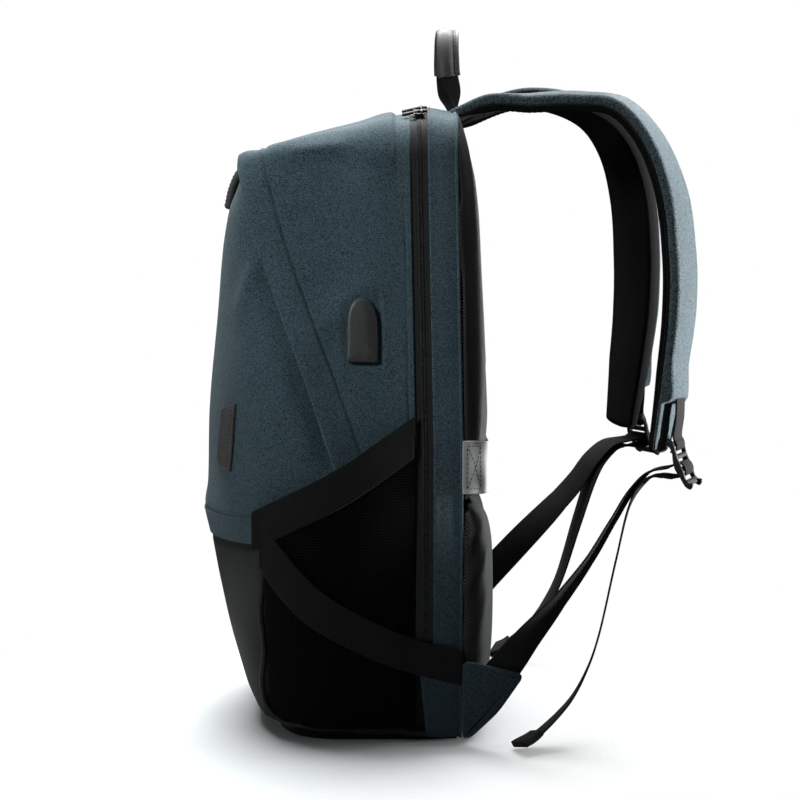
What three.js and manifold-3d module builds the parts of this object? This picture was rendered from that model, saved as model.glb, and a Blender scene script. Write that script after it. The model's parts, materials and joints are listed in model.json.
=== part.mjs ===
// Everyday backpack: a woven hood folded over a front pocket, a coated boot, an arched zip, a padded back,
// shoulder straps with ladder locks, elastic side pockets and a haul handle.
// Millimetres, +Z up. The origin is the middle of the flat base, -Y is the front and +X the wearer's right.
import * as THREE from 'three';
import { mergeVertices } from 'three/addons/utils/BufferGeometryUtils.js';
import Module from 'manifold-3d';

const wasm = await Module();
wasm.setup();

const { lerp, smoothstep, clamp, degToRad } = THREE.MathUtils;

// Walls and running gaps
const CLOTH = 2.2;
const COATED = 2.6;
const MESH = 1.2;
const ELASTIC = 1.8;
const WEBBING = 1.6;
const GAP = 0.4;
const TUCK = 0.7;
const HOOD_LIFT = CLOTH + TUCK;
const BOOT_INSET = CLOTH + 1.6;
const LAY = 0.9;

// Outer skin by height: half width, foremost reach and how square the front corners are
const CORNER_Y = -20;
const SKIN = [
  { z: 0, half: 127, front: -90, square: 3.2 },
  { z: 14, half: 134, front: -106, square: 3.0 },
  { z: 54, half: 138, front: -121.5, square: 2.8 },
  { z: 106, half: 140, front: -134.5, square: 2.6 },
  { z: 150, half: 141, front: -141.5, square: 2.6 },
  { z: 172, half: 141.5, front: -146, square: 2.6 },
  { z: 190, half: 141.5, front: -143.5, square: 2.6 },
  { z: 250, half: 141.5, front: -141, square: 2.7 },
  { z: 326, half: 141, front: -134, square: 3.0 },
  { z: 376, half: 140, front: -129, square: 3.8 },
  { z: 410, half: 138.5, front: -122, square: 5.0 },
  { z: 440, half: 136, front: -111, square: 6.5 },
];

// Zip, gusset and back seam lines on the side, leaning forward towards the top
const ZIP_FRONT = 25.4;
const ZIP_WIDTH = 14;
const SEAM = 60;
const LEAN = 4.5;
const LEAN_FROM = 225;
const LEAN_TO = 440;
const ZIP_END = 80;
const ZIP_SUNK = 1.6;
const GUSSET_SUNK = 0.6;
const GUSSET_FOOT = [14, 40];
const GUSSET_KNEE = { low: ZIP_END - 6, high: ZIP_END - 1 };

// Roof of the hood, from the zip forward to the visor
const HOOD_BACK = ZIP_FRONT - LEAN;
const VISOR = -116;
const VISOR_SWEEP = 7;
const ROOF = { back: 485, front: 448.5, bulge: 4, rise: 5 };
const CROWN = { back: 14, front: 5 };
const ROOF_CORNER = { back: 32, front: 9 };
const CORNER_TURN = degToRad(76);
const HOOD_LOW = { back: 228, front: 200 };
const FLARE = 4.5;
const FLARE_WIDTH = 20;
const HOOD_ROWS = [0, 0.12, 0.25, 0.38, 0.51, 0.64, 0.76, 0.86, 0.93, 1];
// Free edge of the hood down the side
const HOOD_EDGE = [
  { z: 200, y: -31 },
  { z: 268, y: -53.5 },
  { z: 324, y: -73.5 },
  { z: 378, y: -92 },
  { z: 410, y: -101 },
  { z: 436, y: -108.5 },
];

// Front pocket: heights of its rows, side limit by height and how far its top ducks in under the visor
const POCKET_HEIGHTS = [151, 160, 172, 190, 225, 265, 305, 345, 380, 410, 427, 437, 443];
const POCKET_LOW = POCKET_HEIGHTS[0];
const POCKET_SIDE = [
  { z: 151, y: -98 },
  { z: 165, y: -86 },
  { z: 198, y: -30 },
  { z: 268, y: -41 },
  { z: 324, y: -61 },
  { z: 378, y: -79 },
  { z: 410, y: -88 },
  { z: 443, y: -94 },
];
const POCKET_DUCK = [
  { z: 380, inward: 0 },
  { z: 410, inward: 1 },
  { z: 427, inward: 3 },
  { z: 437, inward: 8 },
  { z: 443, inward: 20 },
];

// Boot: tray that rises along the upper elastic to the zip
const BOOT_FRONT_TOP = 159;
const BOOT_ROWS = [0, 0.025, 0.07, 0.16, 0.3, 0.5, 0.7, 0.88, 0.94, 1];
const BOOT_BELOW_ELASTIC = 3;
const BOOT_COLUMNS = { front: 24, side: 4 };
const BASE_THICK = 4;
const BASE_BACK = SEAM - 3;
const BOOT_SEAM_Y = -88;
// Bands over which the boot steps in under the pockets and the front panel
const BOOT_STEP_BACK = { from: BOOT_SEAM_Y - 4, to: BOOT_SEAM_Y + 2 };
const BOOT_STEP_UP = { from: POCKET_LOW - 8, to: POCKET_LOW - 1 };

// Side pocket with its two elastics, as heights along the bag
const UPPER_ELASTIC = [
  { y: -93, z: 163 },
  { y: -31, z: 198 },
  { y: 24, z: 233.5 },
];
const LOWER_ELASTIC = [
  { y: -81.5, z: 146 },
  { y: -50, z: 109 },
  { y: -11, z: 84.5 },
  { y: 24, z: 69 },
  { y: 56, z: 58.8 },
];
const ELASTIC_WIDTH = 25;
const ELASTIC_LIFT = { from: ZIP_FRONT - 40, to: ZIP_FRONT - 16 };
const POCKET_FULL = 13;
const POCKET_BOTTOM = 14;
const POCKET_BULGE = { hem: 0.1, from: 0.08, to: 0.7, round: 0.8 };

// Padded back: how far each pad stands out behind the seam, by height
const PAD_RIM = 2.4;
const PAD_THICK = 10;
const PAD_INSIDE = 0.5;
const PAD_SHAPE = { square: 3.4, round: 0.5 };
const CHANNEL = { depth: 5.5, half: 34 };
const BACK_PAD = [
  { z: 186, rise: 7 },
  { z: 198, rise: 17.5 },
  { z: 223, rise: 18 },
  { z: 300, rise: 16.5 },
  { z: 364, rise: 14.5 },
  { z: 414, rise: 13.5 },
  { z: 452, rise: 10.5 },
  { z: 472, rise: 7 },
  { z: 486, rise: 1 },
];
const LUMBAR_PAD = [
  { z: 0, rise: 7 },
  { z: 12, rise: 17 },
  { z: 44, rise: 23 },
  { z: 126, rise: 23.5 },
  { z: 159, rise: 22.5 },
  { z: 172, rise: 18 },
  { z: 181, rise: 9 },
];
const BAND = { height: 39, thick: 1.6, middle: 203, ends: 212, stand: 19.5, wrap: 0.7 };

// Shoulder straps: middle of the pad, heading of its width, width and share of full thickness
const STRAP_RIGHT = [
  { x: 48, y: 68.9, z: 476.3, yaw: 0, width: 56, thick: 0.8 },
  { x: 52, y: 85, z: 486, yaw: 0, width: 58, thick: 1 },
  { x: 60, y: 118, z: 489.5, yaw: -4, width: 61, thick: 1 },
  { x: 70, y: 153, z: 491, yaw: -9, width: 62, thick: 1 },
  { x: 80, y: 181, z: 485, yaw: -15, width: 62, thick: 1 },
  { x: 91, y: 203, z: 462, yaw: -19, width: 62, thick: 1 },
  { x: 101, y: 219.5, z: 422, yaw: -22, width: 62, thick: 1 },
  { x: 108, y: 226, z: 372, yaw: -23, width: 62, thick: 1 },
  { x: 111, y: 226, z: 330, yaw: -23, width: 60, thick: 1 },
  { x: 112.5, y: 220.5, z: 280, yaw: -23, width: 55, thick: 0.9 },
  { x: 114, y: 212, z: 224, yaw: -23, width: 44, thick: 0.6 },
];
const STRAP_LEFT = [
  { x: -48, y: 68.5, z: 477.7, yaw: 0, width: 56, thick: 0.8 },
  { x: -52, y: 84, z: 491, yaw: 0, width: 58, thick: 1 },
  { x: -60, y: 116, z: 504, yaw: 4, width: 61, thick: 1 },
  { x: -70, y: 152, z: 504, yaw: 9, width: 62, thick: 1 },
  { x: -81, y: 185, z: 489, yaw: 15, width: 62, thick: 1 },
  { x: -90, y: 205, z: 464, yaw: 19, width: 62, thick: 1 },
  { x: -97, y: 217.5, z: 424, yaw: 22, width: 62, thick: 1 },
  { x: -102, y: 222.5, z: 372, yaw: 23, width: 62, thick: 1 },
  { x: -106, y: 222.5, z: 325, yaw: 23, width: 60, thick: 1 },
  { x: -110, y: 218, z: 276, yaw: 23, width: 55, thick: 0.9 },
  { x: -114, y: 212, z: 224, yaw: 23, width: 44, thick: 0.6 },
];
const STRAP_STATIONS = 26;
const STRAP_OUTER = { low: -1.6, high: 6.5, edge: 3 };
const STRAP_INNER = { low: -6.5, high: -2.8, edge: 1.8 };

// Ladder lock: bars across a rounded plate, its lower lip kicked away from the back
const LOCK = { x: 115.5, y: 228.5, z: 213, width: 33, length: 36, thick: 4, corner: 3 };
const LADDER = { bar: 4, slot: 6, inside: 27 };
const LOCK_TILT = 0.35;
const STRAP_YAW = 23;
const WEBBING_WIDTH = 25;

// Anchor tabs sewn into the back seam, as corners on the side; the left one is pulled up a little
const ANCHOR_RIGHT = [
  { y: SEAM + GAP, z: 66 },
  { y: 82, z: 61.5 },
  { y: 108, z: 55 },
  { y: 88, z: 26 },
  { y: 67, z: 6 },
  { y: SEAM + GAP, z: 6 },
];
const ANCHOR_LEFT = [
  { y: SEAM + GAP, z: 82 },
  { y: 76, z: 83 },
  { y: 96.5, z: 66 },
  { y: 84, z: 34 },
  { y: 67, z: 6 },
  { y: SEAM + GAP, z: 6 },
];
const ANCHOR_X = 140.9;
const ANCHOR_THICK = 3;

// Tape sewn into each strap above its lock
const LOCK_TAPE = [
  { x: 116.3, y: 226.5, z: 262, yaw: -STRAP_YAW },
  { x: 116.6, y: 226.2, z: 248, yaw: -STRAP_YAW },
];
// How webbing passes a bar: run straight before it, easing round its edge and rise over its middle
const LOOP = { straight: 6, ease: 1.2, close: 0.6, rise: 0.4 };

// Webbing from each anchor up to its lock and its free tail, both as seen on the right side
const WEBBING_RIGHT = {
  run: [
    { x: 139.5, y: 85, z: 50, yaw: -90, dip: -38 },
    { x: 139.3, y: 94, z: 61.5, yaw: -85, dip: -38 },
    { x: 138, y: 109, z: 80.5, yaw: -56, dip: -31 },
    { x: 134, y: 134.5, z: 110, yaw: -21, dip: -15 },
    { x: 127, y: 157.5, z: 139.5, yaw: -11, dip: -8 },
    { x: 119, y: 176.5, z: 169, yaw: -9, dip: -6 },
    { x: 113.5, y: 191, z: 191, yaw: -14, dip: -3 },
    { x: 111.5, y: 205, z: 205, yaw: -21, dip: 0 },
  ],
  tail: [
    { x: 112.5, y: 208, z: 197.5, yaw: -23, dip: 0 },
    { x: 113, y: 196.5, z: 191, yaw: -16, dip: -4 },
    { x: 114, y: 189, z: 179, yaw: -9, dip: -7 },
    { x: 119, y: 178.5, z: 138, yaw: -7, dip: -10 },
    { x: 127, y: 164, z: 78, yaw: -7, dip: -12 },
    { x: 133, y: 155, z: 55.5, yaw: -6, dip: -12 },
    { x: 142, y: 141, z: 34, yaw: -3, dip: -10 },
    { x: 153, y: 115.5, z: 11.5, yaw: 2, dip: -7 },
    { x: 160, y: 103, z: 5.5, yaw: 3, dip: -5 },
  ],
};
const WEBBING_LEFT = {
  run: [
    { x: 139.5, y: 75, z: 57, yaw: -90, dip: -40 },
    { x: 139.4, y: 83, z: 67, yaw: -90, dip: -40 },
    { x: 138, y: 98, z: 84.5, yaw: -80, dip: -41 },
    { x: 134, y: 123.5, z: 113, yaw: -58, dip: -38 },
    { x: 127, y: 158, z: 151, yaw: -29, dip: -24 },
    { x: 121, y: 173, z: 170, yaw: -27, dip: -18 },
    { x: 116, y: 186, z: 190, yaw: -25, dip: -10 },
    { x: 112.5, y: 201, z: 204, yaw: -23, dip: -2 },
  ],
  tail: [
    { x: 112.5, y: 206, z: 197, yaw: -23, dip: 0 },
    { x: 112.5, y: 194, z: 189, yaw: -18, dip: -4 },
    { x: 112.5, y: 186, z: 175, yaw: -14, dip: -7 },
    { x: 117, y: 173.5, z: 134, yaw: -10, dip: -9 },
    { x: 125, y: 157.5, z: 78, yaw: -4, dip: -10 },
    { x: 131, y: 147.5, z: 55.5, yaw: -2, dip: -10 },
    { x: 138, y: 134, z: 34, yaw: 0, dip: -9 },
    { x: 147, y: 112, z: 13, yaw: 2, dip: -7 },
    { x: 153, y: 101, z: 6.5, yaw: 3, dip: -5 },
  ],
};

// Haul handle over the top seam
const HANDLE = [
  { x: 51, y: 57.6, z: 487, yaw: 0 },
  { x: 52, y: 56, z: 498, yaw: 42 },
  { x: 53, y: 52.5, z: 509, yaw: 88 },
  { x: 51, y: 51, z: 528, yaw: 90 },
  { x: 42, y: 51, z: 542, yaw: 90 },
  { x: 26, y: 51, z: 548, yaw: 90 },
];
const HANDLE_STATIONS = 23;
const HANDLE_WEBBING = { width: 14, thick: 2.4 };
const GRIP = { width: 17.5, thick: 7.4, slotWidth: 15.4, slotThick: 3.4, from: 507, sides: 10, round: 0.5 };

// Small trim
const USB = { y: -14, low: 291, high: 338, width: 23, thick: 7, arch: 2.1, shoulder: 0.85, crown: 0.62 };
const SIDE_TAB = { low: 205, high: 257, inner: -113.5, outer: -124.5, slant: 5, cut: 7, thick: 2, steps: 3 };
const PULL = { x: 10, width: 16, thick: 3, stations: 10 };
const FRONT_PULL = [
  { y: -109.5, z: 446 },
  { y: -115.5, z: 437.5 },
  { y: -120.8, z: 424.5 },
  { y: -124.8, z: 409 },
];
const SLIDER = { length: 11, width: 9, height: 4, stand: 0.9 };
const SLIDER_PULL = { length: 6, width: 21, height: 1.6, stand: SLIDER.stand + SLIDER.height + GAP };
const SLIDERS = [{ x: 100 }, { x: 74 }];

const point = (x, y, z) => new THREE.Vector3(x, y, z);
const range = (count) => Array.from({ length: count }, (_, i) => i);

/** Value of one column of a table at a key, eased through its rows. */
function look(table, key, column, at) {
  const last = table.length - 1;
  let i = 0;
  while (i < last - 1 && at > table[i + 1][key]) i += 1;
  const slope = (j) => {
    const before = table[Math.max(j - 1, 0)];
    const after = table[Math.min(j + 1, last)];
    return (after[column] - before[column]) / (after[key] - before[key]);
  };
  const [from, to] = [table[i], table[i + 1]];
  const span = to[key] - from[key];
  const t = clamp((at - from[key]) / span, 0, 1);
  const ease = t * t * (3 - 2 * t);
  const bend = span * t * (1 - t) * (slope(i) * (1 - t) - slope(i + 1) * t);
  return lerp(from[column], to[column], ease) + bend;
}

/** Geometry of one closed body from points and triangles, turned to face out. */
function closedBody(points, faces) {
  let volume = 0;
  for (let i = 0; i < faces.length; i += 3) {
    const [a, b, c] = [points[faces[i]], points[faces[i + 1]], points[faces[i + 2]]];
    volume += a.dot(b.clone().cross(c));
  }
  const geometry = new THREE.BufferGeometry().setFromPoints(points);
  geometry.setIndex(volume < 0 ? faces.slice().reverse() : faces);
  return geometry;
}

/** Closed wall between two grids of points that have the same rows and columns. */
function wall(outer, inner) {
  const rows = outer.length;
  const columns = outer[0].length;
  const at = (layer, row, column) => (layer * rows + row) * columns + column;
  const faces = [];
  const quad = (a, b, c, d) => faces.push(a, b, c, a, c, d);
  for (const r of range(rows - 1)) {
    for (const c of range(columns - 1)) {
      quad(at(0, r, c), at(0, r, c + 1), at(0, r + 1, c + 1), at(0, r + 1, c));
      quad(at(1, r, c), at(1, r + 1, c), at(1, r + 1, c + 1), at(1, r, c + 1));
    }
  }
  for (const c of range(columns - 1)) {
    const r = rows - 1;
    quad(at(0, 0, c + 1), at(0, 0, c), at(1, 0, c), at(1, 0, c + 1));
    quad(at(0, r, c), at(0, r, c + 1), at(1, r, c + 1), at(1, r, c));
  }
  for (const r of range(rows - 1)) {
    const c = columns - 1;
    quad(at(0, r, 0), at(0, r + 1, 0), at(1, r + 1, 0), at(1, r, 0));
    quad(at(0, r + 1, c), at(0, r, c), at(1, r, c), at(1, r + 1, c));
  }
  return closedBody([...outer.flat(), ...inner.flat()], faces);
}

/** Grid moved along its own normals by a distance, which may vary by point. */
function offset(grid, distance) {
  const amount = typeof distance === 'number' ? () => distance : distance;
  const rows = grid.length - 1;
  const columns = grid[0].length - 1;
  return grid.map((line, r) => line.map((p, c) => {
    const along = grid[r][Math.min(c + 1, columns)].clone().sub(grid[r][Math.max(c - 1, 0)]);
    const up = grid[Math.min(r + 1, rows)][c].clone().sub(grid[Math.max(r - 1, 0)][c]);
    const normal = along.cross(up).normalize();
    return p.clone().addScaledVector(normal, amount(p, r, c));
  }));
}

/** Closed body through rings of points, with a flat cap at each end. */
function loft(rings) {
  const sides = rings[0].length;
  const points = rings.flat();
  const faces = [];
  for (const r of range(rings.length - 1)) {
    for (const s of range(sides)) {
      const next = (s + 1) % sides;
      const [a, b] = [r * sides + s, r * sides + next];
      faces.push(a, b, b + sides, a, b + sides, a + sides);
    }
  }
  const end = (rings.length - 1) * sides;
  for (const s of range(sides - 2)) {
    faces.push(0, s + 2, s + 1);
    faces.push(end, end + s + 1, end + s + 2);
  }
  return closedBody(points, faces);
}

/** Positions along a table of points, each with its across and outward directions from its yaw and dip. */
function stations(table, count) {
  const middles = table.map(({ x, y, z }) => point(x, y, z));
  const curve = new THREE.CatmullRomCurve3(middles, false, 'centripetal');
  return range(count).map((i) => {
    const u = i / (count - 1);
    const place = u * (table.length - 1);
    const low = Math.min(Math.floor(place), table.length - 2);
    const mix = (column) => lerp(table[low][column] ?? 0, table[low + 1][column] ?? 0, place - low);
    const tangent = curve.getTangent(u);
    const [yaw, dip] = [degToRad(mix('yaw')), degToRad(mix('dip'))];
    const across = point(Math.cos(yaw) * Math.cos(dip), Math.sin(yaw) * Math.cos(dip), -Math.sin(dip));
    across.addScaledVector(tangent, -tangent.dot(across)).normalize();
    const normal = across.clone().cross(tangent);
    return { at: curve.getPoint(u), across, normal, mix };
  });
}

/** Ring of points around a station from pairs of across and outward distances. */
function ring(station, outline) {
  return outline.map(([a, n]) => station.at.clone()
    .addScaledVector(station.across, a)
    .addScaledVector(station.normal, n));
}

/** Flat strip of one width and thickness along a table of points. */
function ribbon(table, width, thick, count) {
  const [a, n] = [width / 2, thick / 2];
  return loft(stations(table, count).map((s) => ring(s, [[-a, -n], [a, -n], [a, n], [-a, n]])));
}

/** Mirror image of a geometry in the middle plane of the bag. */
function mirrored(geometry) {
  const copy = geometry.clone().scale(-1, 1, 1);
  const source = copy.index ? Array.from(copy.index.array) : range(copy.attributes.position.count);
  copy.setIndex(source.reverse());
  return copy;
}

function solidOf(geometry) {
  const bare = new THREE.BufferGeometry();
  bare.setAttribute('position', geometry.attributes.position.clone());
  if (geometry.index) bare.setIndex(geometry.index.clone());
  const welded = mergeVertices(bare, 1e-4);
  const vertProperties = new Float32Array(welded.attributes.position.array);
  const triVerts = new Uint32Array(welded.index.array);
  return new wasm.Manifold(new wasm.Mesh({ numProp: 3, vertProperties, triVerts }));
}

function geometryOf(solid) {
  const mesh = solid.getMesh();
  const geometry = new THREE.BufferGeometry();
  geometry.setAttribute('position', new THREE.BufferAttribute(new Float32Array(mesh.vertProperties), 3));
  geometry.setIndex(Array.from(mesh.triVerts));
  return geometry;
}

/** Half width of the skin at a place on the side. */
function skinX(y, z) {
  const half = look(SKIN, 'z', 'half', z);
  const reach = (CORNER_Y - y) / (CORNER_Y - look(SKIN, 'z', 'front', z));
  if (reach <= 0) return half;
  const square = look(SKIN, 'z', 'square', z);
  return half * Math.max(1 - reach ** square, 0) ** (1 / square);
}

/** Skin point seen from the corner line at an angle: 0 is square to the side, a quarter turn the front. */
function skinAround(angle, z) {
  const half = look(SKIN, 'z', 'half', z);
  const depth = CORNER_Y - look(SKIN, 'z', 'front', z);
  const square = look(SKIN, 'z', 'square', z);
  const side = Math.cos(angle);
  const ahead = Math.sin(angle);
  const reach = (Math.abs(side / half) ** square + Math.abs(ahead / depth) ** square) ** (-1 / square);
  return point(side * reach, CORNER_Y - ahead * reach, z);
}

const lean = (z) => -LEAN * clamp((z - LEAN_FROM) / (LEAN_TO - LEAN_FROM), 0, 1);
const zipFront = (z) => ZIP_FRONT + lean(z);
const seamY = (z) => SEAM + lean(z);

/** Roof height, crown and corner radius at a place from back to front. */
function crest(y) {
  const v = (HOOD_BACK - y) / (HOOD_BACK - VISOR);
  if (v < 0) {
    const rise = ROOF.rise * (y - HOOD_BACK) / (SEAM - ZIP_FRONT);
    return { top: ROOF.back + rise, crown: CROWN.back, radius: ROOF_CORNER.back };
  }
  return {
    top: lerp(ROOF.back, ROOF.front, v) + ROOF.bulge * Math.sin(Math.PI * v),
    crown: lerp(CROWN.back, CROWN.front, v),
    radius: lerp(ROOF_CORNER.back, ROOF_CORNER.front, v),
  };
}

/** Height where the straight side of the arch gives way to its rounded corner. */
function cornerStart(y) {
  const { top, crown, radius } = crest(y);
  return top - crown - radius * Math.sin(CORNER_TURN);
}

/** Roof edge of the arch on one side: where the rounded corner ends. */
function cornerEnd(y, lift) {
  const { radius } = crest(y);
  const side = skinX(y, cornerStart(y)) + lift;
  const round = radius + lift - HOOD_LIFT;
  return { side, round, x: side - round * (1 - Math.cos(CORNER_TURN)) };
}

/** Point on the rounded corner of the arch, share 0 at the side and 1 at the roof. */
function archCorner(share, y, lift) {
  const { side, round } = cornerEnd(y, lift);
  const angle = CORNER_TURN * share;
  const x = side - round * (1 - Math.cos(angle));
  return point(x, y, cornerStart(y) + round * Math.sin(angle));
}

/** Height of the roof above a place across the bag, crowned between its edges. */
function roofHeight(x, y, lift, edge = cornerEnd(y, lift).x) {
  const { top, crown } = crest(y);
  return top + lift - HOOD_LIFT - crown * (x / edge) ** 2;
}

const SIDE_STEPS = 9;
const CORNER_STEPS = 4;
const ROOF_STEPS = 5;

/** Half of an arch in the order side, corner and roof, then its mirror image, as one line of points. */
function bothSides(half) {
  const left = half.slice(0, -1).reverse().map((p) => point(-p.x, p.y, p.z));
  return [...half, ...left];
}

/** Line of points over the bag from right to left at one place between front and back edges. */
function archLine(lows, lift, placeY) {
  const startZ = cornerStart(placeY(LEAN_TO));
  const even = range(SIDE_STEPS - 1).map((i) => lerp(lows.at(-1), startZ, (i + 1) / SIDE_STEPS));
  const sides = [...lows, ...even].map((z) => {
    const y = placeY(z);
    return point(skinX(y, z) + lift, y, z);
  });
  const y = placeY(LEAN_TO);
  const corners = range(CORNER_STEPS).map((i) => archCorner(i / CORNER_STEPS, y, lift));
  const edge = cornerEnd(y, lift).x;
  const roof = range(ROOF_STEPS + 1).map((i) => {
    const x = edge * (1 - i / ROOF_STEPS);
    return point(x, y, roofHeight(x, y, lift));
  });
  return bothSides([...sides, ...corners, ...roof]);
}

/** Hood: rows run from the zip to the free edge, columns from the right side over to the left. */
function hood() {
  const edgeTop = HOOD_EDGE.at(-1);
  const flare = (distance) => FLARE * (1 - smoothstep(distance, 0, FLARE_WIDTH));
  const outer = HOOD_ROWS.map((v) => {
    const topY = lerp(HOOD_BACK - GAP, edgeTop.y, v);
    const low = lerp(HOOD_LOW.back, HOOD_LOW.front, v);
    const sides = range(SIDE_STEPS).map((i) => {
      const share = i / SIDE_STEPS;
      const z = lerp(low, cornerStart(topY), share);
      const edgeY = look(HOOD_EDGE, 'z', 'y', lerp(HOOD_LOW.front, cornerStart(edgeTop.y), share));
      const backY = zipFront(z) - GAP;
      const y = lerp(backY, edgeY, v);
      return point(skinX(y, z) + HOOD_LIFT + flare((1 - v) * (backY - edgeY)), y, z);
    });
    const place = (x) => lerp(HOOD_BACK - GAP, VISOR + VISOR_SWEEP * (x / edgeTop.y) ** 2, v);
    const corners = range(CORNER_STEPS).map((i) => {
      const p = archCorner(i / CORNER_STEPS, topY, HOOD_LIFT);
      const out = flare((1 - v) * (HOOD_BACK - edgeTop.y)) * (1 - i / CORNER_STEPS);
      return point(p.x + out, p.y, p.z);
    });
    const edge = cornerEnd(topY, HOOD_LIFT).x;
    const roof = range(ROOF_STEPS + 1).map((i) => {
      const x = edge * (1 - i / ROOF_STEPS);
      const y = lerp(topY, place(x), i / ROOF_STEPS);
      return point(x, y, roofHeight(x, y, HOOD_LIFT, edge));
    });
    return bothSides([...sides, ...corners, ...roof]);
  });
  return wall(outer, offset(outer, -CLOTH));
}

/** Front pocket: rows rise from the hem, columns run round the front from left to right. */
function frontPocket() {
  const columns = 19;
  const skin = POCKET_HEIGHTS.map((z) => {
    const sideY = look(POCKET_SIDE, 'z', 'y', z);
    const sideAngle = Math.atan2(CORNER_Y - sideY, skinX(sideY, z));
    return range(columns).map((c) => skinAround(lerp(Math.PI - sideAngle, sideAngle, c / (columns - 1)), z));
  });
  const outer = offset(skin, (p) => -look(POCKET_DUCK, 'z', 'inward', p.z));
  return wall(outer, offset(outer, -CLOTH));
}

const upperElasticZ = (y) => look(UPPER_ELASTIC, 'y', 'z', y);

/** Boot: a tray whose front is exposed and whose sides lie under the pockets and the hood. */
function boot() {
  const { front, side } = BOOT_COLUMNS;
  const sideY = (i) => lerp(ZIP_FRONT - GAP, CORNER_Y, i / side);
  const rightSide = range(side).map((i) => ({ y: sideY(i) }));
  const ahead = range(front + 1).map((i) => ({ angle: Math.PI * i / front }));
  const leftSide = range(side).map((i) => ({ y: sideY(side - 1 - i), left: true }));
  const outline = [...rightSide, ...ahead, ...leftSide].reverse();
  const place = (spot, z) => {
    if (spot.angle !== undefined) return skinAround(spot.angle, z);
    return point(skinX(spot.y, z) * (spot.left ? -1 : 1), spot.y, z);
  };
  const skin = BOOT_ROWS.map((share) => outline.map((spot) => {
    const { y } = place(spot, BOOT_FRONT_TOP);
    const top = Math.max(BOOT_FRONT_TOP, upperElasticZ(y) - BOOT_BELOW_ELASTIC);
    return place(spot, share * (y > UPPER_ELASTIC[0].y ? top : BOOT_FRONT_TOP));
  }));
  const inset = (p) => {
    const beside = smoothstep(p.y, BOOT_STEP_BACK.from, BOOT_STEP_BACK.to);
    const tucked = smoothstep(p.z, BOOT_STEP_UP.from, BOOT_STEP_UP.to);
    return -BOOT_INSET * (1 - (1 - beside) * (1 - tucked));
  };
  const outer = offset(skin, inset);
  outer[0].forEach((p) => p.setZ(0));
  const inner = offset(outer, -COATED);
  inner[0].forEach((p) => p.setZ(0));
  const base = new THREE.Shape();
  const back = Math.abs(outer[0][0].x) - COATED;
  base.moveTo(-back, BASE_BACK);
  outer[0].forEach((p, i) => base.lineTo((p.x + inner[0][i].x) / 2, (p.y + inner[0][i].y) / 2));
  base.lineTo(back, BASE_BACK);
  const plate = new THREE.ExtrudeGeometry(base, { depth: BASE_THICK, bevelEnabled: false });
  return geometryOf(solidOf(wall(outer, inner)).add(solidOf(plate)));
}

/** Band that follows the arch between two side lines, from one low end over the top to the other. */
function archBand(lows, lift, thick, frontY, backY) {
  const rows = [0, 0.5, 1].map((v) => archLine(lows, lift, (z) => lerp(backY(z), frontY(z), v)));
  return wall(rows, offset(rows, -thick));
}

function zipTape() {
  const front = (z) => zipFront(z) + GAP;
  const back = (z) => zipFront(z) + ZIP_WIDTH - GAP;
  return archBand([ZIP_END], HOOD_LIFT - ZIP_SUNK, ZIP_SUNK, front, back);
}

/** Gusset: widens forward below the end of the zip. */
function gusset() {
  const { low, high } = GUSSET_KNEE;
  const front = (z) => zipFront(z) + lerp(GAP, ZIP_WIDTH, smoothstep(z, low, high));
  const lows = [BASE_THICK + GAP, ...GUSSET_FOOT, low, high];
  return archBand(lows, HOOD_LIFT - GUSSET_SUNK, CLOTH, front, seamY);
}

const padHalf = (z) => look(SKIN, 'z', 'half', z) + PAD_INSIDE;
const padCrown = (share) => (1 - Math.min(Math.abs(share), 1) ** PAD_SHAPE.square) ** PAD_SHAPE.round;

/** Cushion behind the seam plane, its crown cut by a shallow channel down the middle. */
function backCushion(table, top) {
  const rows = 11;
  const columns = 17;
  const low = table[0].z;
  const high = table.at(-1).z;
  const surface = (share, v, depth) => {
    const z = lerp(low, top(share), v);
    const x = share * padHalf(z);
    const channel = CHANNEL.depth * Math.exp(-((x / CHANNEL.half) ** 4));
    const rise = Math.max(look(table, 'z', 'rise', lerp(low, high, v)) - channel, 0) * padCrown(share);
    const seat = seamY(z) + GAP;
    const y = seat + PAD_RIM + rise;
    return point(x, depth === 0 ? y : Math.max(seat, y - depth), z);
  };
  const grid = (depth) => range(rows).map((r) => range(columns).map((c) => {
    const share = Math.sin(Math.PI * (c / (columns - 1) - 0.5));
    return surface(share, 0.5 - 0.5 * Math.cos(Math.PI * r / (rows - 1)), depth);
  }));
  return wall(grid(0), grid(PAD_THICK));
}

/** Top outline of the back pad below the arch of the gusset, at a share of its half width. */
function backTop(share) {
  const y = seamY(LEAN_TO);
  const x = Math.abs(share) * padHalf(LEAN_TO);
  const edge = cornerEnd(y, PAD_INSIDE);
  if (x <= edge.x) return roofHeight(x, y, PAD_INSIDE);
  const across = clamp((x - edge.side + edge.round) / edge.round, 0, 1);
  return cornerStart(y) + edge.round * Math.sqrt(1 - across * across);
}

/** Luggage band: follows the pads across the back, its ends wrapped round their rims to the seam. */
function luggageBand() {
  const columns = 21;
  const place = (share, wrapped) => {
    const middle = lerp(BAND.middle, BAND.ends, share ** 2);
    const seat = seamY(middle) + GAP;
    const y = wrapped ? seat : seat + PAD_RIM + LAY + BAND.stand * padCrown(share);
    const x = share * padHalf(middle) + (wrapped ? Math.sign(share) * BAND.wrap : 0);
    return { x, y, middle };
  };
  const across = range(columns).map((c) => place(Math.sin(Math.PI * (c / (columns - 1) - 0.5)), false));
  const spots = [place(-1, true), ...across, place(1, true)];
  const half = BAND.height / 2;
  const grid = [-half, half].map((up) => spots.map(({ x, y, middle }) => point(x, y, middle + up)));
  return wall(grid, offset(grid, -BAND.thick));
}

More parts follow.
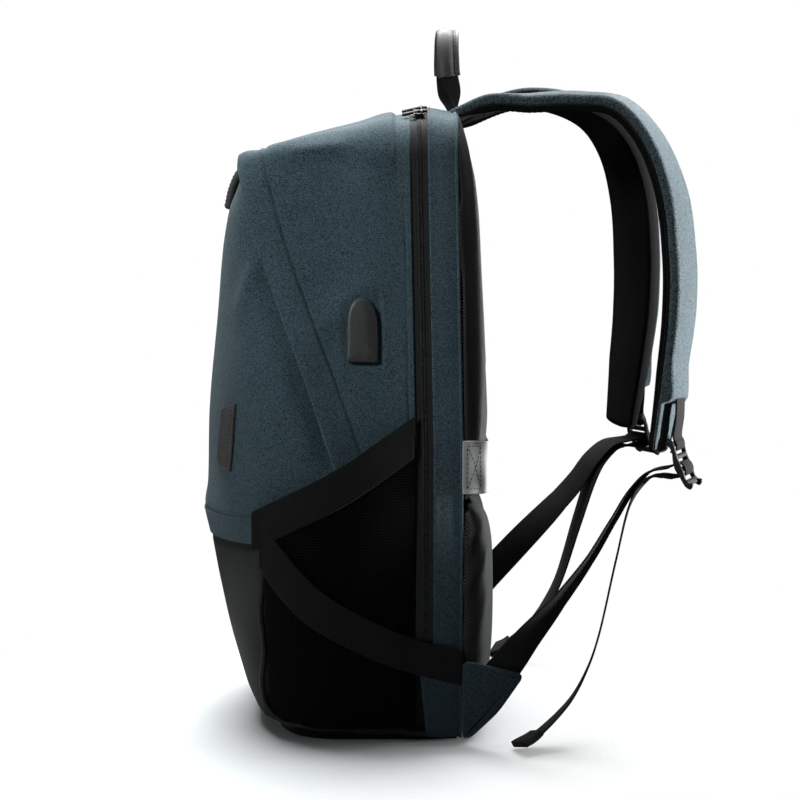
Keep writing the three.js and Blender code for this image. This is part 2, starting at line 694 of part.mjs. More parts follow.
/** How far the side pocket stands off the skin: share along runs front to back, share up from the base. */
function pocketStand(along, up) {
  const seat = lerp(MESH + LAY + 1 - BOOT_INSET, HOOD_LIFT + GAP + MESH, smoothstep(up, 0, 1));
  const { hem, from, to, round } = POCKET_BULGE;
  const full = POCKET_FULL * Math.sin(Math.PI * clamp(along, 0, 1)) ** round;
  return seat + full * lerp(hem, 1, Math.sin(Math.PI * lerp(from, to, up)));
}

const pocketShare = (y) => (y - BOOT_SEAM_Y) / (ZIP_FRONT - GAP - BOOT_SEAM_Y);
const pocketUp = (y, z) => (z - POCKET_BOTTOM) / (upperElasticZ(y) - POCKET_BOTTOM);

/** Point on the right side of the bag, stood off the skin along its plan normal. */
function sidePoint(y, z, stand) {
  const step = 0.5;
  const slope = (skinX(y + step, z) - skinX(y - step, z)) / (2 * step);
  const size = Math.hypot(1, slope);
  return point(skinX(y, z) + stand / size, y - slope * stand / size, z);
}

function pocketMesh() {
  const rows = 8;
  const columns = 12;
  const grid = (inward) => range(rows).map((r) => range(columns).map((c) => {
    const along = c / (columns - 1);
    const up = r / (rows - 1);
    const y = lerp(BOOT_SEAM_Y, ZIP_FRONT - GAP, along);
    const z = lerp(POCKET_BOTTOM, upperElasticZ(y), up);
    return sidePoint(y, z, pocketStand(along, up) - inward);
  }));
  return wall(grid(0), grid(MESH));
}

/** Elastic on the side of the bag along a table of heights, standing off the skin by a given amount. */
function sideElastic(table, columns, stand) {
  const ends = [table[0].y, table.at(-1).y];
  const grid = (out) => [-0.5, 0, 0.5].map((across) => range(columns).map((c) => {
    const y = lerp(ends[0], ends[1], c / (columns - 1));
    const [before, after] = [Math.max(y - 1, ends[0]), Math.min(y + 1, ends[1])];
    const climb = Math.atan2(look(table, 'y', 'z', after) - look(table, 'y', 'z', before), after - before);
    const placeY = y - across * ELASTIC_WIDTH * Math.sin(climb);
    const placeZ = look(table, 'y', 'z', y) + across * ELASTIC_WIDTH * Math.cos(climb);
    return sidePoint(placeY, placeZ, stand(placeY, placeZ) + out);
  }));
  return wall(grid(ELASTIC), grid(0));
}

function upperElastic() {
  const stand = (y, z) => pocketStand(pocketShare(y), Math.min(pocketUp(y, z), 1)) + LAY;
  return sideElastic(UPPER_ELASTIC, 17, stand);
}

function lowerElastic() {
  const stand = (y, z) => {
    const onMesh = pocketStand(pocketShare(y), clamp(pocketUp(y, z), 0, 1)) + LAY;
    const onGusset = HOOD_LIFT;
    return Math.max(onMesh, onGusset * smoothstep(y, ELASTIC_LIFT.from, ELASTIC_LIFT.to));
  };
  return sideElastic(LOWER_ELASTIC, 19, stand);
}

/** Shoulder strap layer: a rounded section between two outward distances, tapering with the strap. */
function strapLayer(table, layer) {
  const rings = stations(table, STRAP_STATIONS).map((s) => {
    const half = s.mix('width') / 2;
    const [low, high] = [layer.low * s.mix('thick'), layer.high * s.mix('thick')];
    const edge = layer.edge * s.mix('thick');
    const tip = half - edge;
    const middle = (low + high) / 2;
    return ring(s, [[-tip, low], [tip, low], [half, middle], [tip, high], [-tip, high], [-half, middle]]);
  });
  return loft(rings);
}

const headed = (direction) => direction.applyAxisAngle(point(0, 0, 1), degToRad(-STRAP_YAW));
const LOCK_DOWN = headed(point(0, LOCK_TILT, -Math.sqrt(1 - LOCK_TILT ** 2)));
const LOCK_ACROSS = headed(point(1, 0, 0));
const LOCK_OUT = LOCK_ACROSS.clone().cross(LOCK_DOWN);

/** Place on the right lock: distance down its plate and out of its face. */
function lockPlace(down, out) {
  return point(LOCK.x, LOCK.y, LOCK.z).addScaledVector(LOCK_DOWN, down).addScaledVector(LOCK_OUT, out);
}

function lockRow(down, out) {
  const { x, y, z } = lockPlace(down, out);
  return { x, y, z, yaw: -STRAP_YAW };
}

function roundedRectangle(shape, x, y, width, height, radius) {
  const [right, top] = [x + width, y + height];
  shape.moveTo(x + radius, y);
  shape.lineTo(right - radius, y);
  shape.absarc(right - radius, y + radius, radius, -Math.PI / 2, 0, false);
  shape.lineTo(right, top - radius);
  shape.absarc(right - radius, top - radius, radius, 0, Math.PI / 2, false);
  shape.lineTo(x + radius, top);
  shape.absarc(x + radius, top - radius, radius, Math.PI / 2, Math.PI, false);
  shape.lineTo(x, y + radius);
  shape.absarc(x + radius, y + radius, radius, Math.PI, 1.5 * Math.PI, false);
  return shape;
}

const slotPlace = (i) => (i - 1) * (LADDER.bar + LADDER.slot);
const barPlace = (i) => (i - 1.5) * (LADDER.bar + LADDER.slot);

/** Ladder lock: a rounded plate with three slots between four bars. */
function ladderLock() {
  const { width, length, thick, corner } = LOCK;
  const plate = roundedRectangle(new THREE.Shape(), -width / 2, -length / 2, width, length, corner);
  for (const i of range(3)) {
    const low = slotPlace(i) - LADDER.slot / 2;
    const [left, right, high] = [-LADDER.inside / 2, LADDER.inside / 2, low + LADDER.slot];
    const corners = [[left, low], [right, low], [right, high], [left, high]];
    plate.holes.push(new THREE.Path(corners.map(([x, y]) => new THREE.Vector2(x, y))));
  }
  const geometry = new THREE.ExtrudeGeometry(plate, { depth: thick, bevelEnabled: false, curveSegments: 3 });
  geometry.translate(0, 0, -thick / 2);
  const basis = new THREE.Matrix4().makeBasis(LOCK_ACROSS, LOCK_DOWN, LOCK_OUT);
  basis.setPosition(LOCK.x, LOCK.y, LOCK.z);
  return geometry.applyMatrix4(basis);
}

const BAR_CLEAR = LOCK.thick / 2 + WEBBING / 2 + GAP;

/** Webbing: up from the anchor, over the third bar of the lock and down again as a free tail. */
function webbing({ run, tail }) {
  const { straight, ease, close, rise } = LOOP;
  const over = [
    lockRow(slotPlace(1) + rise, -BAR_CLEAR - straight),
    lockRow(slotPlace(1), -BAR_CLEAR),
    lockRow(slotPlace(1), 0),
    lockRow(slotPlace(1) + ease, BAR_CLEAR - close),
    lockRow(barPlace(2), BAR_CLEAR + rise),
    lockRow(slotPlace(2) - ease, BAR_CLEAR - close),
    lockRow(slotPlace(2), 0),
    lockRow(slotPlace(2), -BAR_CLEAR),
    lockRow(slotPlace(2) + rise, -BAR_CLEAR - straight),
  ];
  const table = [...run, ...over, ...tail];
  return ribbon(table, WEBBING_WIDTH, WEBBING, (table.length - 1) * 2 + 1);
}

/** Short tape from the strap down over the first bar of the lock. */
function lockTape() {
  const { ease, close, rise } = LOOP;
  const rows = [
    ...LOCK_TAPE,
    lockRow(barPlace(0) - LADDER.bar, BAR_CLEAR),
    lockRow(barPlace(0), BAR_CLEAR + rise),
    lockRow(slotPlace(0) - ease, BAR_CLEAR - close),
    lockRow(slotPlace(0), 0),
    lockRow(slotPlace(0), rise - BAR_CLEAR),
  ];
  return ribbon(rows, WEBBING_WIDTH, WEBBING, (rows.length - 1) * 2 + 1);
}

/** Plate cut to an outline on the side of the bag, running outward from an inner face. */
function sidePlate(shape, innerX, thick) {
  const geometry = new THREE.ExtrudeGeometry(shape, { depth: thick, bevelEnabled: false, curveSegments: 8 });
  const basis = new THREE.Matrix4().makeBasis(point(0, 1, 0), point(0, 0, 1), point(1, 0, 0));
  return geometry.applyMatrix4(basis.setPosition(innerX, 0, 0));
}

function anchorTab(corners) {
  const shape = new THREE.Shape(corners.map(({ y, z }) => new THREE.Vector2(y, z)));
  return sidePlate(shape, ANCHOR_X, ANCHOR_THICK);
}

function usbCover() {
  const half = USB.width / 2;
  const [left, right] = [USB.y - half, USB.y + half];
  const [spring, shoulder] = [USB.high - half * USB.arch, USB.high - half * USB.shoulder];
  const crown = half * USB.crown;
  const shape = new THREE.Shape();
  shape.moveTo(left, USB.low);
  shape.lineTo(right, USB.low);
  shape.lineTo(right, spring);
  shape.bezierCurveTo(right, shoulder, USB.y + crown, USB.high, USB.y, USB.high);
  shape.bezierCurveTo(USB.y - crown, USB.high, left, shoulder, left, spring);
  const surface = Math.max(skinX(USB.y, USB.low), skinX(USB.y, USB.high)) + HOOD_LIFT;
  return sidePlate(shape, surface + GAP, USB.thick);
}

/** Full path of the handle: up the right leg, over the top and down the left. */
function handlePath() {
  const left = HANDLE.map((row) => ({ ...row, x: -row.x, yaw: 180 - row.yaw })).reverse();
  const top = { ...HANDLE.at(-1), x: 0, z: HANDLE.at(-1).z + 1.5 };
  return [...HANDLE, top, ...left];
}

function handleWebbing() {
  return ribbon(handlePath(), HANDLE_WEBBING.width, HANDLE_WEBBING.thick, HANDLE_STATIONS);
}

/** Grip: a sleeve round the webbing along the raised part of the handle. */
function handleGrip() {
  const all = stations(handlePath(), HANDLE_STATIONS);
  const first = all.findIndex((s) => s.at.z > GRIP.from);
  const squared = (part, size) => Math.sign(part) * Math.abs(part) ** GRIP.round * size / 2;
  const oval = range(GRIP.sides).map((i) => {
    const angle = 2 * Math.PI * (i + 0.5) / GRIP.sides;
    return [squared(Math.cos(angle), GRIP.width), squared(Math.sin(angle), GRIP.thick)];
  });
  const sleeve = all.slice(first, all.length - first).map((s) => ring(s, oval));
  const [a, n] = [GRIP.slotWidth / 2, GRIP.slotThick / 2];
  const longer = all.slice(first - 1, all.length - first + 1);
  const slot = longer.map((s) => ring(s, [[-a, -n], [a, -n], [a, n], [-a, n]]));
  return geometryOf(solidOf(loft(sleeve)).subtract(solidOf(loft(slot))));
}

/** Leather tab on the right side of the front pocket, a slanted four-sided patch. */
function sideTab() {
  const { steps } = SIDE_TAB;
  const grid = (stand) => range(steps + 1).map((r) => range(steps + 1).map((c) => {
    const [along, up] = [c / steps, r / steps];
    const low = SIDE_TAB.low + SIDE_TAB.cut * (1 - along);
    const high = SIDE_TAB.high - SIDE_TAB.slant * (1 - along);
    const z = lerp(low, high, up);
    const y = lerp(SIDE_TAB.outer, SIDE_TAB.inner, along) + SIDE_TAB.slant * (up - 0.5);
    return sidePoint(y, z, stand);
  }));
  return wall(grid(GAP + SIDE_TAB.thick), grid(GAP));
}

function frontPull() {
  const rows = FRONT_PULL.map((row) => ({ ...row, x: PULL.x }));
  return ribbon(rows, PULL.width, PULL.thick, PULL.stations);
}

/** Box lying on the roof of the zip, stood off it and turned to the slope there. */
function roofBox({ x }, size) {
  const y = zipFront(LEAN_TO) + ZIP_WIDTH / 2;
  const lift = HOOD_LIFT - ZIP_SUNK;
  const step = 1;
  const slope = (roofHeight(x + step, y, lift) - roofHeight(x - step, y, lift)) / (2 * step);
  const box = new THREE.BoxGeometry(size.length, size.width, size.height);
  box.translate(0, 0, size.stand + size.height / 2);
  box.rotateY(-Math.atan(slope));
  return box.translate(x, y, roofHeight(x, y, lift));
}

function finish(color, roughness, metalness = 0) {
  return new THREE.MeshStandardMaterial({ color, roughness, metalness });
}

const WOVEN = finish(0x2c3c46, 0.9);
const BLACK_COATED = finish(0x17191a, 0.55);
const BLACK_MESH = finish(0x141516, 0.9);
const BLACK_WEBBING = finish(0x101112, 0.8);
const GREY_BAND = finish(0x8d9295, 0.6);
const LEATHER = finish(0x1b1b1c, 0.5);
const RUBBER = finish(0x1a1b1c, 0.7);
const PLASTIC = finish(0x121314, 0.45);
const GUNMETAL = finish(0x3a3b3d, 0.35, 0.9);

const backpack = new THREE.Group();

function add(name, geometry, material) {
  const mesh = new THREE.Mesh(geometry, material);
  mesh.name = name;
  backpack.add(mesh);
}

function addPair(name, geometry, material) {
  add(`${name}_right`, geometry, material);
  add(`${name}_left`, mirrored(geometry), material);
}

add('hood', hood(), WOVEN);
add('front_pocket', frontPocket(), WOVEN);
add('boot', boot(), BLACK_COATED);
add('zip_tape', zipTape(), BLACK_WEBBING);
add('gusset', gusset(), WOVEN);
add('back_pad', backCushion(BACK_PAD, backTop), BLACK_MESH);
add('lumbar_pad', backCushion(LUMBAR_PAD, () => LUMBAR_PAD.at(-1).z), BLACK_MESH);
add('luggage_band', luggageBand(), GREY_BAND);
addPair('pocket_mesh', pocketMesh(), BLACK_MESH);
addPair('upper_elastic', upperElastic(), BLACK_WEBBING);
addPair('lower_elastic', lowerElastic(), BLACK_WEBBING);
for (const [side, table] of [['right', STRAP_RIGHT], ['left', STRAP_LEFT]]) {
  add(`strap_pad_${side}`, strapLayer(table, STRAP_OUTER), WOVEN);
  add(`strap_lining_${side}`, strapLayer(table, STRAP_INNER), BLACK_MESH);
}
addPair('ladder_lock', ladderLock(), PLASTIC);
addPair('lock_tape', lockTape(), BLACK_WEBBING);
add('webbing_right', webbing(WEBBING_RIGHT), BLACK_WEBBING);
add('webbing_left', mirrored(webbing(WEBBING_LEFT)), BLACK_WEBBING);
add('anchor_tab_right', anchorTab(ANCHOR_RIGHT), WOVEN);
add('anchor_tab_left', mirrored(anchorTab(ANCHOR_LEFT)), WOVEN);
add('handle_webbing', handleWebbing(), BLACK_WEBBING);
add('handle_grip', handleGrip(), LEATHER);
add('usb_cover', usbCover(), RUBBER);
add('side_tab', sideTab(), LEATHER);
add('front_pull', frontPull(), LEATHER);
SLIDERS.forEach((slider, i) => {
  add(`zip_slider_${i + 1}`, roofBox(slider, SLIDER), GUNMETAL);
  add(`zip_pull_${i + 1}`, roofBox(slider, SLIDER_PULL), GUNMETAL);
});

export default backpack;
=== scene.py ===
"""Dressed backpack: cloth panels, padding, straps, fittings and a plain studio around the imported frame."""
import json
import logging
import math
from bisect import bisect_left
from dataclasses import dataclass, field
from enum import Enum
from functools import partial
from typing import Callable, ClassVar, Iterable, Sequence

import bmesh
import bpy
import numpy as np
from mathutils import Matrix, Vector, noise

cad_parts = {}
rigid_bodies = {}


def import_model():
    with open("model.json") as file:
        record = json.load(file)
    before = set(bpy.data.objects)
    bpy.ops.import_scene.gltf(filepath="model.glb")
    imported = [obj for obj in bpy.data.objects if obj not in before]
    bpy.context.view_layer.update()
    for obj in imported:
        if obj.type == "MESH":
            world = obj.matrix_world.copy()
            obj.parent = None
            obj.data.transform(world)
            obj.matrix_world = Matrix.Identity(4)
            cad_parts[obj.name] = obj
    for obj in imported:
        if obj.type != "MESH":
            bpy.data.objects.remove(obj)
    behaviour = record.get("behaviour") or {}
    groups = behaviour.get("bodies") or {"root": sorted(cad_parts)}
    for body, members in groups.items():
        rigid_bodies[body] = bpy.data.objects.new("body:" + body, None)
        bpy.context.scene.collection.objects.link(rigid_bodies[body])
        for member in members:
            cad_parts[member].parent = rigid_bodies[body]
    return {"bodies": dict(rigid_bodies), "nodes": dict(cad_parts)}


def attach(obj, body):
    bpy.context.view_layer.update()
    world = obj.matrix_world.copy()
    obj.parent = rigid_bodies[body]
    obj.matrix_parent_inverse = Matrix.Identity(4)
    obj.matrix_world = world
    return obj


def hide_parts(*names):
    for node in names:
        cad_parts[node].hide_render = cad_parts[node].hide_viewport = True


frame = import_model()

LOG = logging.getLogger("backpack")
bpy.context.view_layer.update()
MM = 0.001
BODY = next(iter(frame["bodies"]))
Colour = tuple[float, float, float]


class Side(Enum):
    """Side of the bag as its wearer has it: the sign of X there."""

    RIGHT = 1
    LEFT = -1

    @property
    def word(self) -> str:
        """Name of the side as node names end in it."""
        return self.name.lower()


class Slot(Enum):
    """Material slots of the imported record."""

    WOVEN = "woven"
    COATED = "coated"
    MESH = "black_mesh"
    WEBBING = "webbing"
    BAND = "grey_band"
    LEATHER = "leather"
    RUBBER = "rubber"
    PLASTIC = "plastic"
    METAL = "gunmetal"


def lerp(a: float, b: float, t: float) -> float:
    """Value at share t of the way from a to b."""
    return a + (b - a) * t


def clamp(value: float, low: float = 0.0, high: float = 1.0) -> float:
    """Value kept between two limits."""
    return min(max(value, low), high)


def smoothstep(value: float, low: float, high: float) -> float:
    """Soft step from 0 at low to 1 at high."""
    t = clamp((value - low) / (high - low))
    return t * t * (3 - 2 * t)


def bell(value: float, width: float) -> float:
    """Soft hump of height 1 at zero that fades over a width."""
    return math.exp(-((value / width) ** 2))


def unit(v: np.ndarray) -> np.ndarray:
    """Vectors along the last axis, scaled to length 1."""
    return v / np.maximum(np.linalg.norm(v, axis=-1, keepdims=True), 1e-9)


def ripple(p: np.ndarray, size: float, seed: float = 0.0) -> float:
    """Smooth seeded noise from -1 to 1.

    Args:
        p: place in millimetres.
        size: size of one ripple in millimetres.
        seed: offset that gives another pattern.

    Returns:
        The noise there.
    """
    return noise.noise(Vector((p[0] / size + seed, p[1] / size - seed, p[2] / size + 2 * seed)))


class Table:
    """Short table of rows with named columns, eased through by its first column."""

    def __init__(self, columns: str, *rows: tuple[float, ...]) -> None:
        """Keeps the rows under their column names.

        Args:
            columns: the names, as words in one string.
            rows: the values, in rising order of the first column.
        """
        self.keys = [float(row[0]) for row in rows]
        self.data = {name: [float(row[i]) for row in rows] for i, name in enumerate(columns.split())}

    def at(self, column: str, key: float) -> float:
        """Eased value of a column.

        Args:
            column: name of the column.
            key: value of the first column.

        Returns:
            The value, held level beyond both ends.
        """
        keys, values = self.keys, self.data[column]
        i = min(max(bisect_left(keys, key) - 1, 0), len(keys) - 2)
        span = keys[i + 1] - keys[i]
        t = clamp((key - keys[i]) / span)
        bend = span * t * (1 - t) * (self._slope(values, i) * (1 - t) - self._slope(values, i + 1) * t)
        return lerp(values[i], values[i + 1], t * t * (3 - 2 * t)) + bend

    def _slope(self, values: list[float], i: int) -> float:
        """Slope of a column at a row, from the rows beside it."""
        before, after = max(i - 1, 0), min(i + 1, len(values) - 1)
        return (values[after] - values[before]) / (self.keys[after] - self.keys[before])


def grid_normals(grid: np.ndarray) -> np.ndarray:
    """Unit normals of a grid of points, columns turned towards rows.

    Args:
        grid: points as rows, columns and X, Y, Z.

    Returns:
        One normal for each point.
    """
    along = np.gradient(grid, axis=1)
    up = np.gradient(grid, axis=0)
    return unit(np.cross(along, up))


def arc_coords(grid: np.ndarray) -> np.ndarray:
    """Cloth coordinates of a grid: distance along each row from its middle, and along each column.

    Args:
        grid: points as rows, columns and X, Y, Z.

    Returns:
        Two distances in millimetres for each point.
    """
    across = np.linalg.norm(np.diff(grid, axis=1), axis=2)
    u = np.concatenate([np.zeros((len(grid), 1)), np.cumsum(across, axis=1)], axis=1)
    u -= u[:, [grid.shape[1] // 2]]
    down = np.linalg.norm(np.diff(grid, axis=0), axis=2)
    v = np.concatenate([np.zeros((1, grid.shape[1])), np.cumsum(down, axis=0)], axis=0)
    return np.stack([u, v], axis=2)


def lengths(path: np.ndarray) -> np.ndarray:
    """Distance along a path to each of its places."""
    return np.concatenate([[0], np.cumsum(np.linalg.norm(np.diff(path, axis=0), axis=1))])


def blend(values: np.ndarray, along: np.ndarray, spots: "float | np.ndarray") -> np.ndarray:
    """Vectors given along a path, at distances along it."""
    return np.stack([np.interp(spots, along, column) for column in values.T], axis=-1)


def rounded_box(half: float, low: float, high: float, radius: float, steps: int = 4) -> np.ndarray:
    """Closed outline of a rectangle with round corners.

    Args:
        half: half of its width.
        low: lower edge.
        high: upper edge.
        radius: radius of the corners.
        steps: facets in each corner.

    Returns:
        Points as pairs of distances across and out.
    """
    r = min(radius, half * 0.98, (high - low) * 0.49)
    corners = [(half - r, high - r, 0), (r - half, high - r, 1), (r - half, low + r, 2), (half - r, low + r, 3)]
    points = []
    for a, n, quarter in corners:
        for i in range(steps + 1):
            angle = (quarter + i / steps) * math.pi / 2
            points.append((a + r * math.cos(angle), n + r * math.sin(angle)))
    return np.array(points)


@dataclass(frozen=True)
class Bend:
    """Row of a route: a place, the heading and dip of the strip's width there, its width and thickness."""

    x: float
    y: float
    z: float
    yaw: float = 0.0
    dip: float = 0.0
    width: float = 0.0
    thick: float = 1.0


@dataclass(frozen=True)
class Station:
    """Place along a route with the directions of a strip laid on it."""

    at: np.ndarray
    across: np.ndarray
    out: np.ndarray
    width: float
    thick: float

    def spot(self, across: float, out: float) -> np.ndarray:
        """Place at distances across and out from the station."""
        return self.at + self.across * across + self.out * out

    def place(self, outline: np.ndarray) -> np.ndarray:
        """Points of an outline of across and out distances, set at the station."""
        return self.at + outline[:, :1] * self.across + outline[:, 1:] * self.out


class Route:
    """Smooth curve through the rows of a table."""

    NUDGE: ClassVar[float] = 1e-4

    def __init__(self, rows: Sequence[Bend]) -> None:
        """Keeps the rows and their places."""
        self.rows = list(rows)
        self.points = np.array([(r.x, r.y, r.z) for r in rows], float)

    def point(self, u: float) -> np.ndarray:
        """Place at share u of the rows, on a centripetal curve.

        Args:
            u: share of the rows.

        Returns:
            The place.
        """
        last = len(self.points) - 1
        i = min(int(u * last), last - 1)
        w = u * last - i
        p1, p2 = self.points[i], self.points[i + 1]
        p0 = self.points[i - 1] if i > 0 else 2 * p1 - p2
        p3 = self.points[i + 2] if i + 2 <= last else 2 * p2 - p1
        d0, d1, d2 = (math.sqrt(np.linalg.norm(b - a)) for a, b in ((p0, p1), (p1, p2), (p2, p3)))
        t1 = ((p1 - p0) / d0 - (p2 - p0) / (d0 + d1) + (p2 - p1) / d1) * d1
        t2 = ((p2 - p1) / d1 - (p3 - p1) / (d1 + d2) + (p3 - p2) / d2) * d1
        return p1 + t1 * w + (3 * (p2 - p1) - 2 * t1 - t2) * w**2 + (2 * (p1 - p2) + t1 + t2) * w**3

    def station(self, u: float) -> Station:
        """Station at share u of the rows.

        Args:
            u: share of the rows.

        Returns:
            The station.
        """
        ahead = unit(self.point(min(u + self.NUDGE, 1.0)) - self.point(max(u - self.NUDGE, 0.0)))
        place = u * (len(self.rows) - 1)
        i = min(int(place), len(self.rows) - 2)
        a, b, t = self.rows[i], self.rows[i + 1], place - i
        yaw, dip = math.radians(lerp(a.yaw, b.yaw, t)), math.radians(lerp(a.dip, b.dip, t))
        across = np.array([math.cos(yaw) * math.cos(dip), math.sin(yaw) * math.cos(dip), -math.sin(dip)])
        across = unit(across - ahead * ahead.dot(across))
        out = np.cross(across, ahead)
        return Station(self.point(u), across, out, lerp(a.width, b.width, t), lerp(a.thick, b.thick, t))

    def stations(self, count: int) -> list[Station]:
        """Stations at even shares of the rows."""
        return [self.station(i / (count - 1)) for i in range(count)]


@dataclass(frozen=True)
class Thread:
    """Sizes of one row of stitches, in millimetres."""

    length: float = 2.8
    gap: float = 1.3
    width: float = 0.62
    sides: int = 5


class Draft:
    """Points, faces and cloth coordinates of a piece being built, in millimetres."""

    def __init__(self) -> None:
        """Starts with nothing."""
        self.points: list[np.ndarray] = []
        self.coords: list[np.ndarray] = []
        self.faces: list[tuple[int, ...]] = []
        self.count = 0

    def add(self, points: np.ndarray, coords: np.ndarray, faces: Iterable[tuple[int, ...]]) -> "Draft":
        """Adds points.

        Args:
            points: the points.
            coords: their cloth coordinates.
            faces: faces between them, by their numbers.

        Returns:
            The draft.
        """
        start = self.count
        self.points.append(np.asarray(points, float).reshape(-1, 3))
        self.coords.append(np.asarray(coords, float).reshape(-1, 2))
        self.faces.extend(tuple(start + i for i in face) for face in faces)
        self.count += len(self.points[-1])
        return self

    def cloth(self, outer: np.ndarray, inner: np.ndarray, bulge: float = 0.35) -> "Draft":
        """Closed cloth between two grids, with a rounded rim.

        Args:
            outer: grid of the outer face.
            inner: grid of the inner face.
            bulge: how far the rim rounds out, as a share of the thickness.

        Returns:
            The draft.
        """
        rows, columns = outer.shape[:2]
        loop = [(0, c) for c in range(columns)] + [(r, columns - 1) for r in range(1, rows)]
        loop += [(rows - 1, c) for c in range(columns - 2, -1, -1)] + [(r, 0) for r in range(rows - 2, 0, -1)]
        rim = []
        for r, c in loop:
            ahead = np.zeros(3)
            if r in (0, rows - 1):
                ahead += unit(outer[r, c] - outer[1 if r == 0 else rows - 2, c])
            if c in (0, columns - 1):
                ahead += unit(outer[r, c] - outer[r, 1 if c == 0 else columns - 2])
            thick = np.linalg.norm(outer[r, c] - inner[r, c])
            rim.append((outer[r, c] + inner[r, c]) / 2 + unit(ahead) * thick * bulge)
        size = rows * columns
        ids = np.arange(size).reshape(rows, columns).tolist()
        faces = []
        for r in range(rows - 1):
            for c in range(columns - 1):
                quad = (ids[r][c], ids[r][c + 1], ids[r + 1][c + 1], ids[r + 1][c])
                faces += [quad, tuple(size + i for i in reversed(quad))]
        edge = [ids[r][c] for r, c in loop]
        for k, a in enumerate(edge):
            after = (k + 1) % len(edge)
            b, near, far = edge[after], 2 * size + k, 2 * size + after
            faces += [(b, a, near, far), (far, near, size + a, size + b)]
        coords = arc_coords(outer).reshape(-1, 2)
        points = np.concatenate([outer.reshape(-1, 3), inner.reshape(-1, 3), np.array(rim)])
        return self.add(points, np.concatenate([coords, coords, coords[edge]]), faces)

    def sweep(self, rings: np.ndarray, across: np.ndarray | None = None) -> "Draft":
        """Closed body through rings of points, with flat ends.

        Args:
            rings: points as rings, points in a ring and X, Y, Z.
            across: cloth coordinate across the strip for each point of a ring, or its place round the ring.

        Returns:
            The draft.
        """
        count, sides = rings.shape[:2]
        along = lengths(rings.mean(axis=1))
        if across is None:
            across = lengths(rings[count // 2])
        coords = np.stack([np.tile(across, (count, 1)), np.repeat(along[:, None], sides, axis=1)], axis=2)
        faces = []
        for r in range(count - 1):
            for s in range(sides):
                a, b = r * sides + s, r * sides + (s + 1) % sides
                faces.append((a, b, b + sides, a + sides))
        faces += [tuple(reversed(range(sides))), tuple(range((count - 1) * sides, count * sides))]
        return self.add(rings, coords, faces)

    def tube(self, path: np.ndarray, radius: float, sides: int = 8) -> "Draft":
        """Round cord along a path.

        Args:
            path: places along the cord.
            radius: its radius.
            sides: facets round it.

        Returns:
            The draft.
        """
        ahead = unit(np.gradient(path, axis=0))
        first = unit(np.cross(ahead, np.array([0.37, 0.61, 0.70])))
        second = np.cross(ahead, first)
        turn = np.linspace(0, 2 * math.pi, sides, endpoint=False)
        side, up = (wave(turn)[None, :, None] * radius for wave in (np.cos, np.sin))
        return self.sweep(path[:, None] + side * first[:, None] + up * second[:, None])

    def stitches(self, path: np.ndarray, normals: np.ndarray, thread: Thread = Thread()) -> "Draft":
        """Row of stitches along a path on a surface.

        Args:
            path: places along the row.
            normals: direction out of the surface at each place.
            thread: sizes of the stitches.

        Returns:
            The draft.
        """
        along = lengths(path)
        turn = np.linspace(0, 2 * math.pi, thread.sides, endpoint=False)
        for start in np.arange(0, along[-1] - thread.length, thread.length + thread.gap):
            spots = start + np.array([0.0, 0.5, 1.0]) * thread.length
            at, out = blend(path, along, spots), unit(blend(normals, along, spots[1]))
            side = unit(np.cross(out, at[2] - at[0]))
            rings = []
            for place, swell, lift in zip(at, (0.45, 1.0, 0.45), (-0.05, 0.3, -0.05)):
                middle, radius = place + out * lift * thread.width, thread.width / 2 * swell
                rings.append([middle + (out * math.sin(t) + side * math.cos(t)) * radius for t in turn])
            self.sweep(np.array(rings))
        return self

    def prism(self, low: np.ndarray, high: np.ndarray) -> "Draft":
        """Closed body between two outlines with the same number of points."""
        return self.sweep(np.stack([low, high]))

    def mirror(self) -> "Draft":
        """Mirror image in the middle plane of the bag."""
        faces = [tuple(reversed(face)) for face in self.faces]
        return Draft().add(np.concatenate(self.points) * (-1, 1, 1), np.concatenate(self.coords), faces)

    def on(self, side: Side) -> "Draft":
        """The draft for one side, drawn for the right."""
        return self if side is Side.RIGHT else self.mirror()

    def mesh(self, name: str, sharp: float = 48.0) -> bpy.types.Mesh:
        """Mesh in metres, smooth below an angle.

        Args:
            name: name of the mesh.
            sharp: angle in degrees above which an edge stays sharp.

        Returns:
            The mesh, with its cloth coordinates as an attribute.
        """
        mesh = bpy.data.meshes.new(name)
        mesh.from_pydata((np.concatenate(self.points) * MM).tolist(), [], self.faces)
        weave = mesh.attributes.new(Recipe.WEAVE, "FLOAT_VECTOR", "POINT")
        coords = np.concatenate(self.coords)
        weave.data.foreach_set("vector", np.column_stack([coords, np.zeros(len(coords))]).astype(np.float32).ravel())
        shape = bmesh.new()
        shape.from_mesh(mesh)
        bmesh.ops.recalc_face_normals(shape, faces=shape.faces)
        shape.to_mesh(mesh)
        shape.free()
        mesh.shade_smooth()
        mesh.set_sharp_from_angle(angle=math.radians(sharp))
        return mesh


def make(draft: Draft, name: str, finish: "Finish", slot: Slot, sharp: float = 48.0) -> bpy.types.Object:
    """Piece made from a draft, finished, tied to the bag and logged.

    Args:
        draft: its points and faces.
        name: its name, and that of the frame node that it stands for if there is one.
        finish: its finish.
        slot: record slot of the piece; not used.
        sharp: angle in degrees above which an edge stays sharp.

    Returns:
        The piece.
    """
    nodes = [name] if name in frame["nodes"] else []
    label = f"{name}_dressed" if nodes else name
    obj = bpy.data.objects.new(label, draft.mesh(label, sharp))
    bpy.context.scene.collection.objects.link(obj)
    obj.data.materials.append(finish.material())
    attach(obj, BODY)
    if nodes:
        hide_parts(*nodes)
    LOG.info("%s: %d faces", obj.name, len(obj.data.polygons))
    return obj


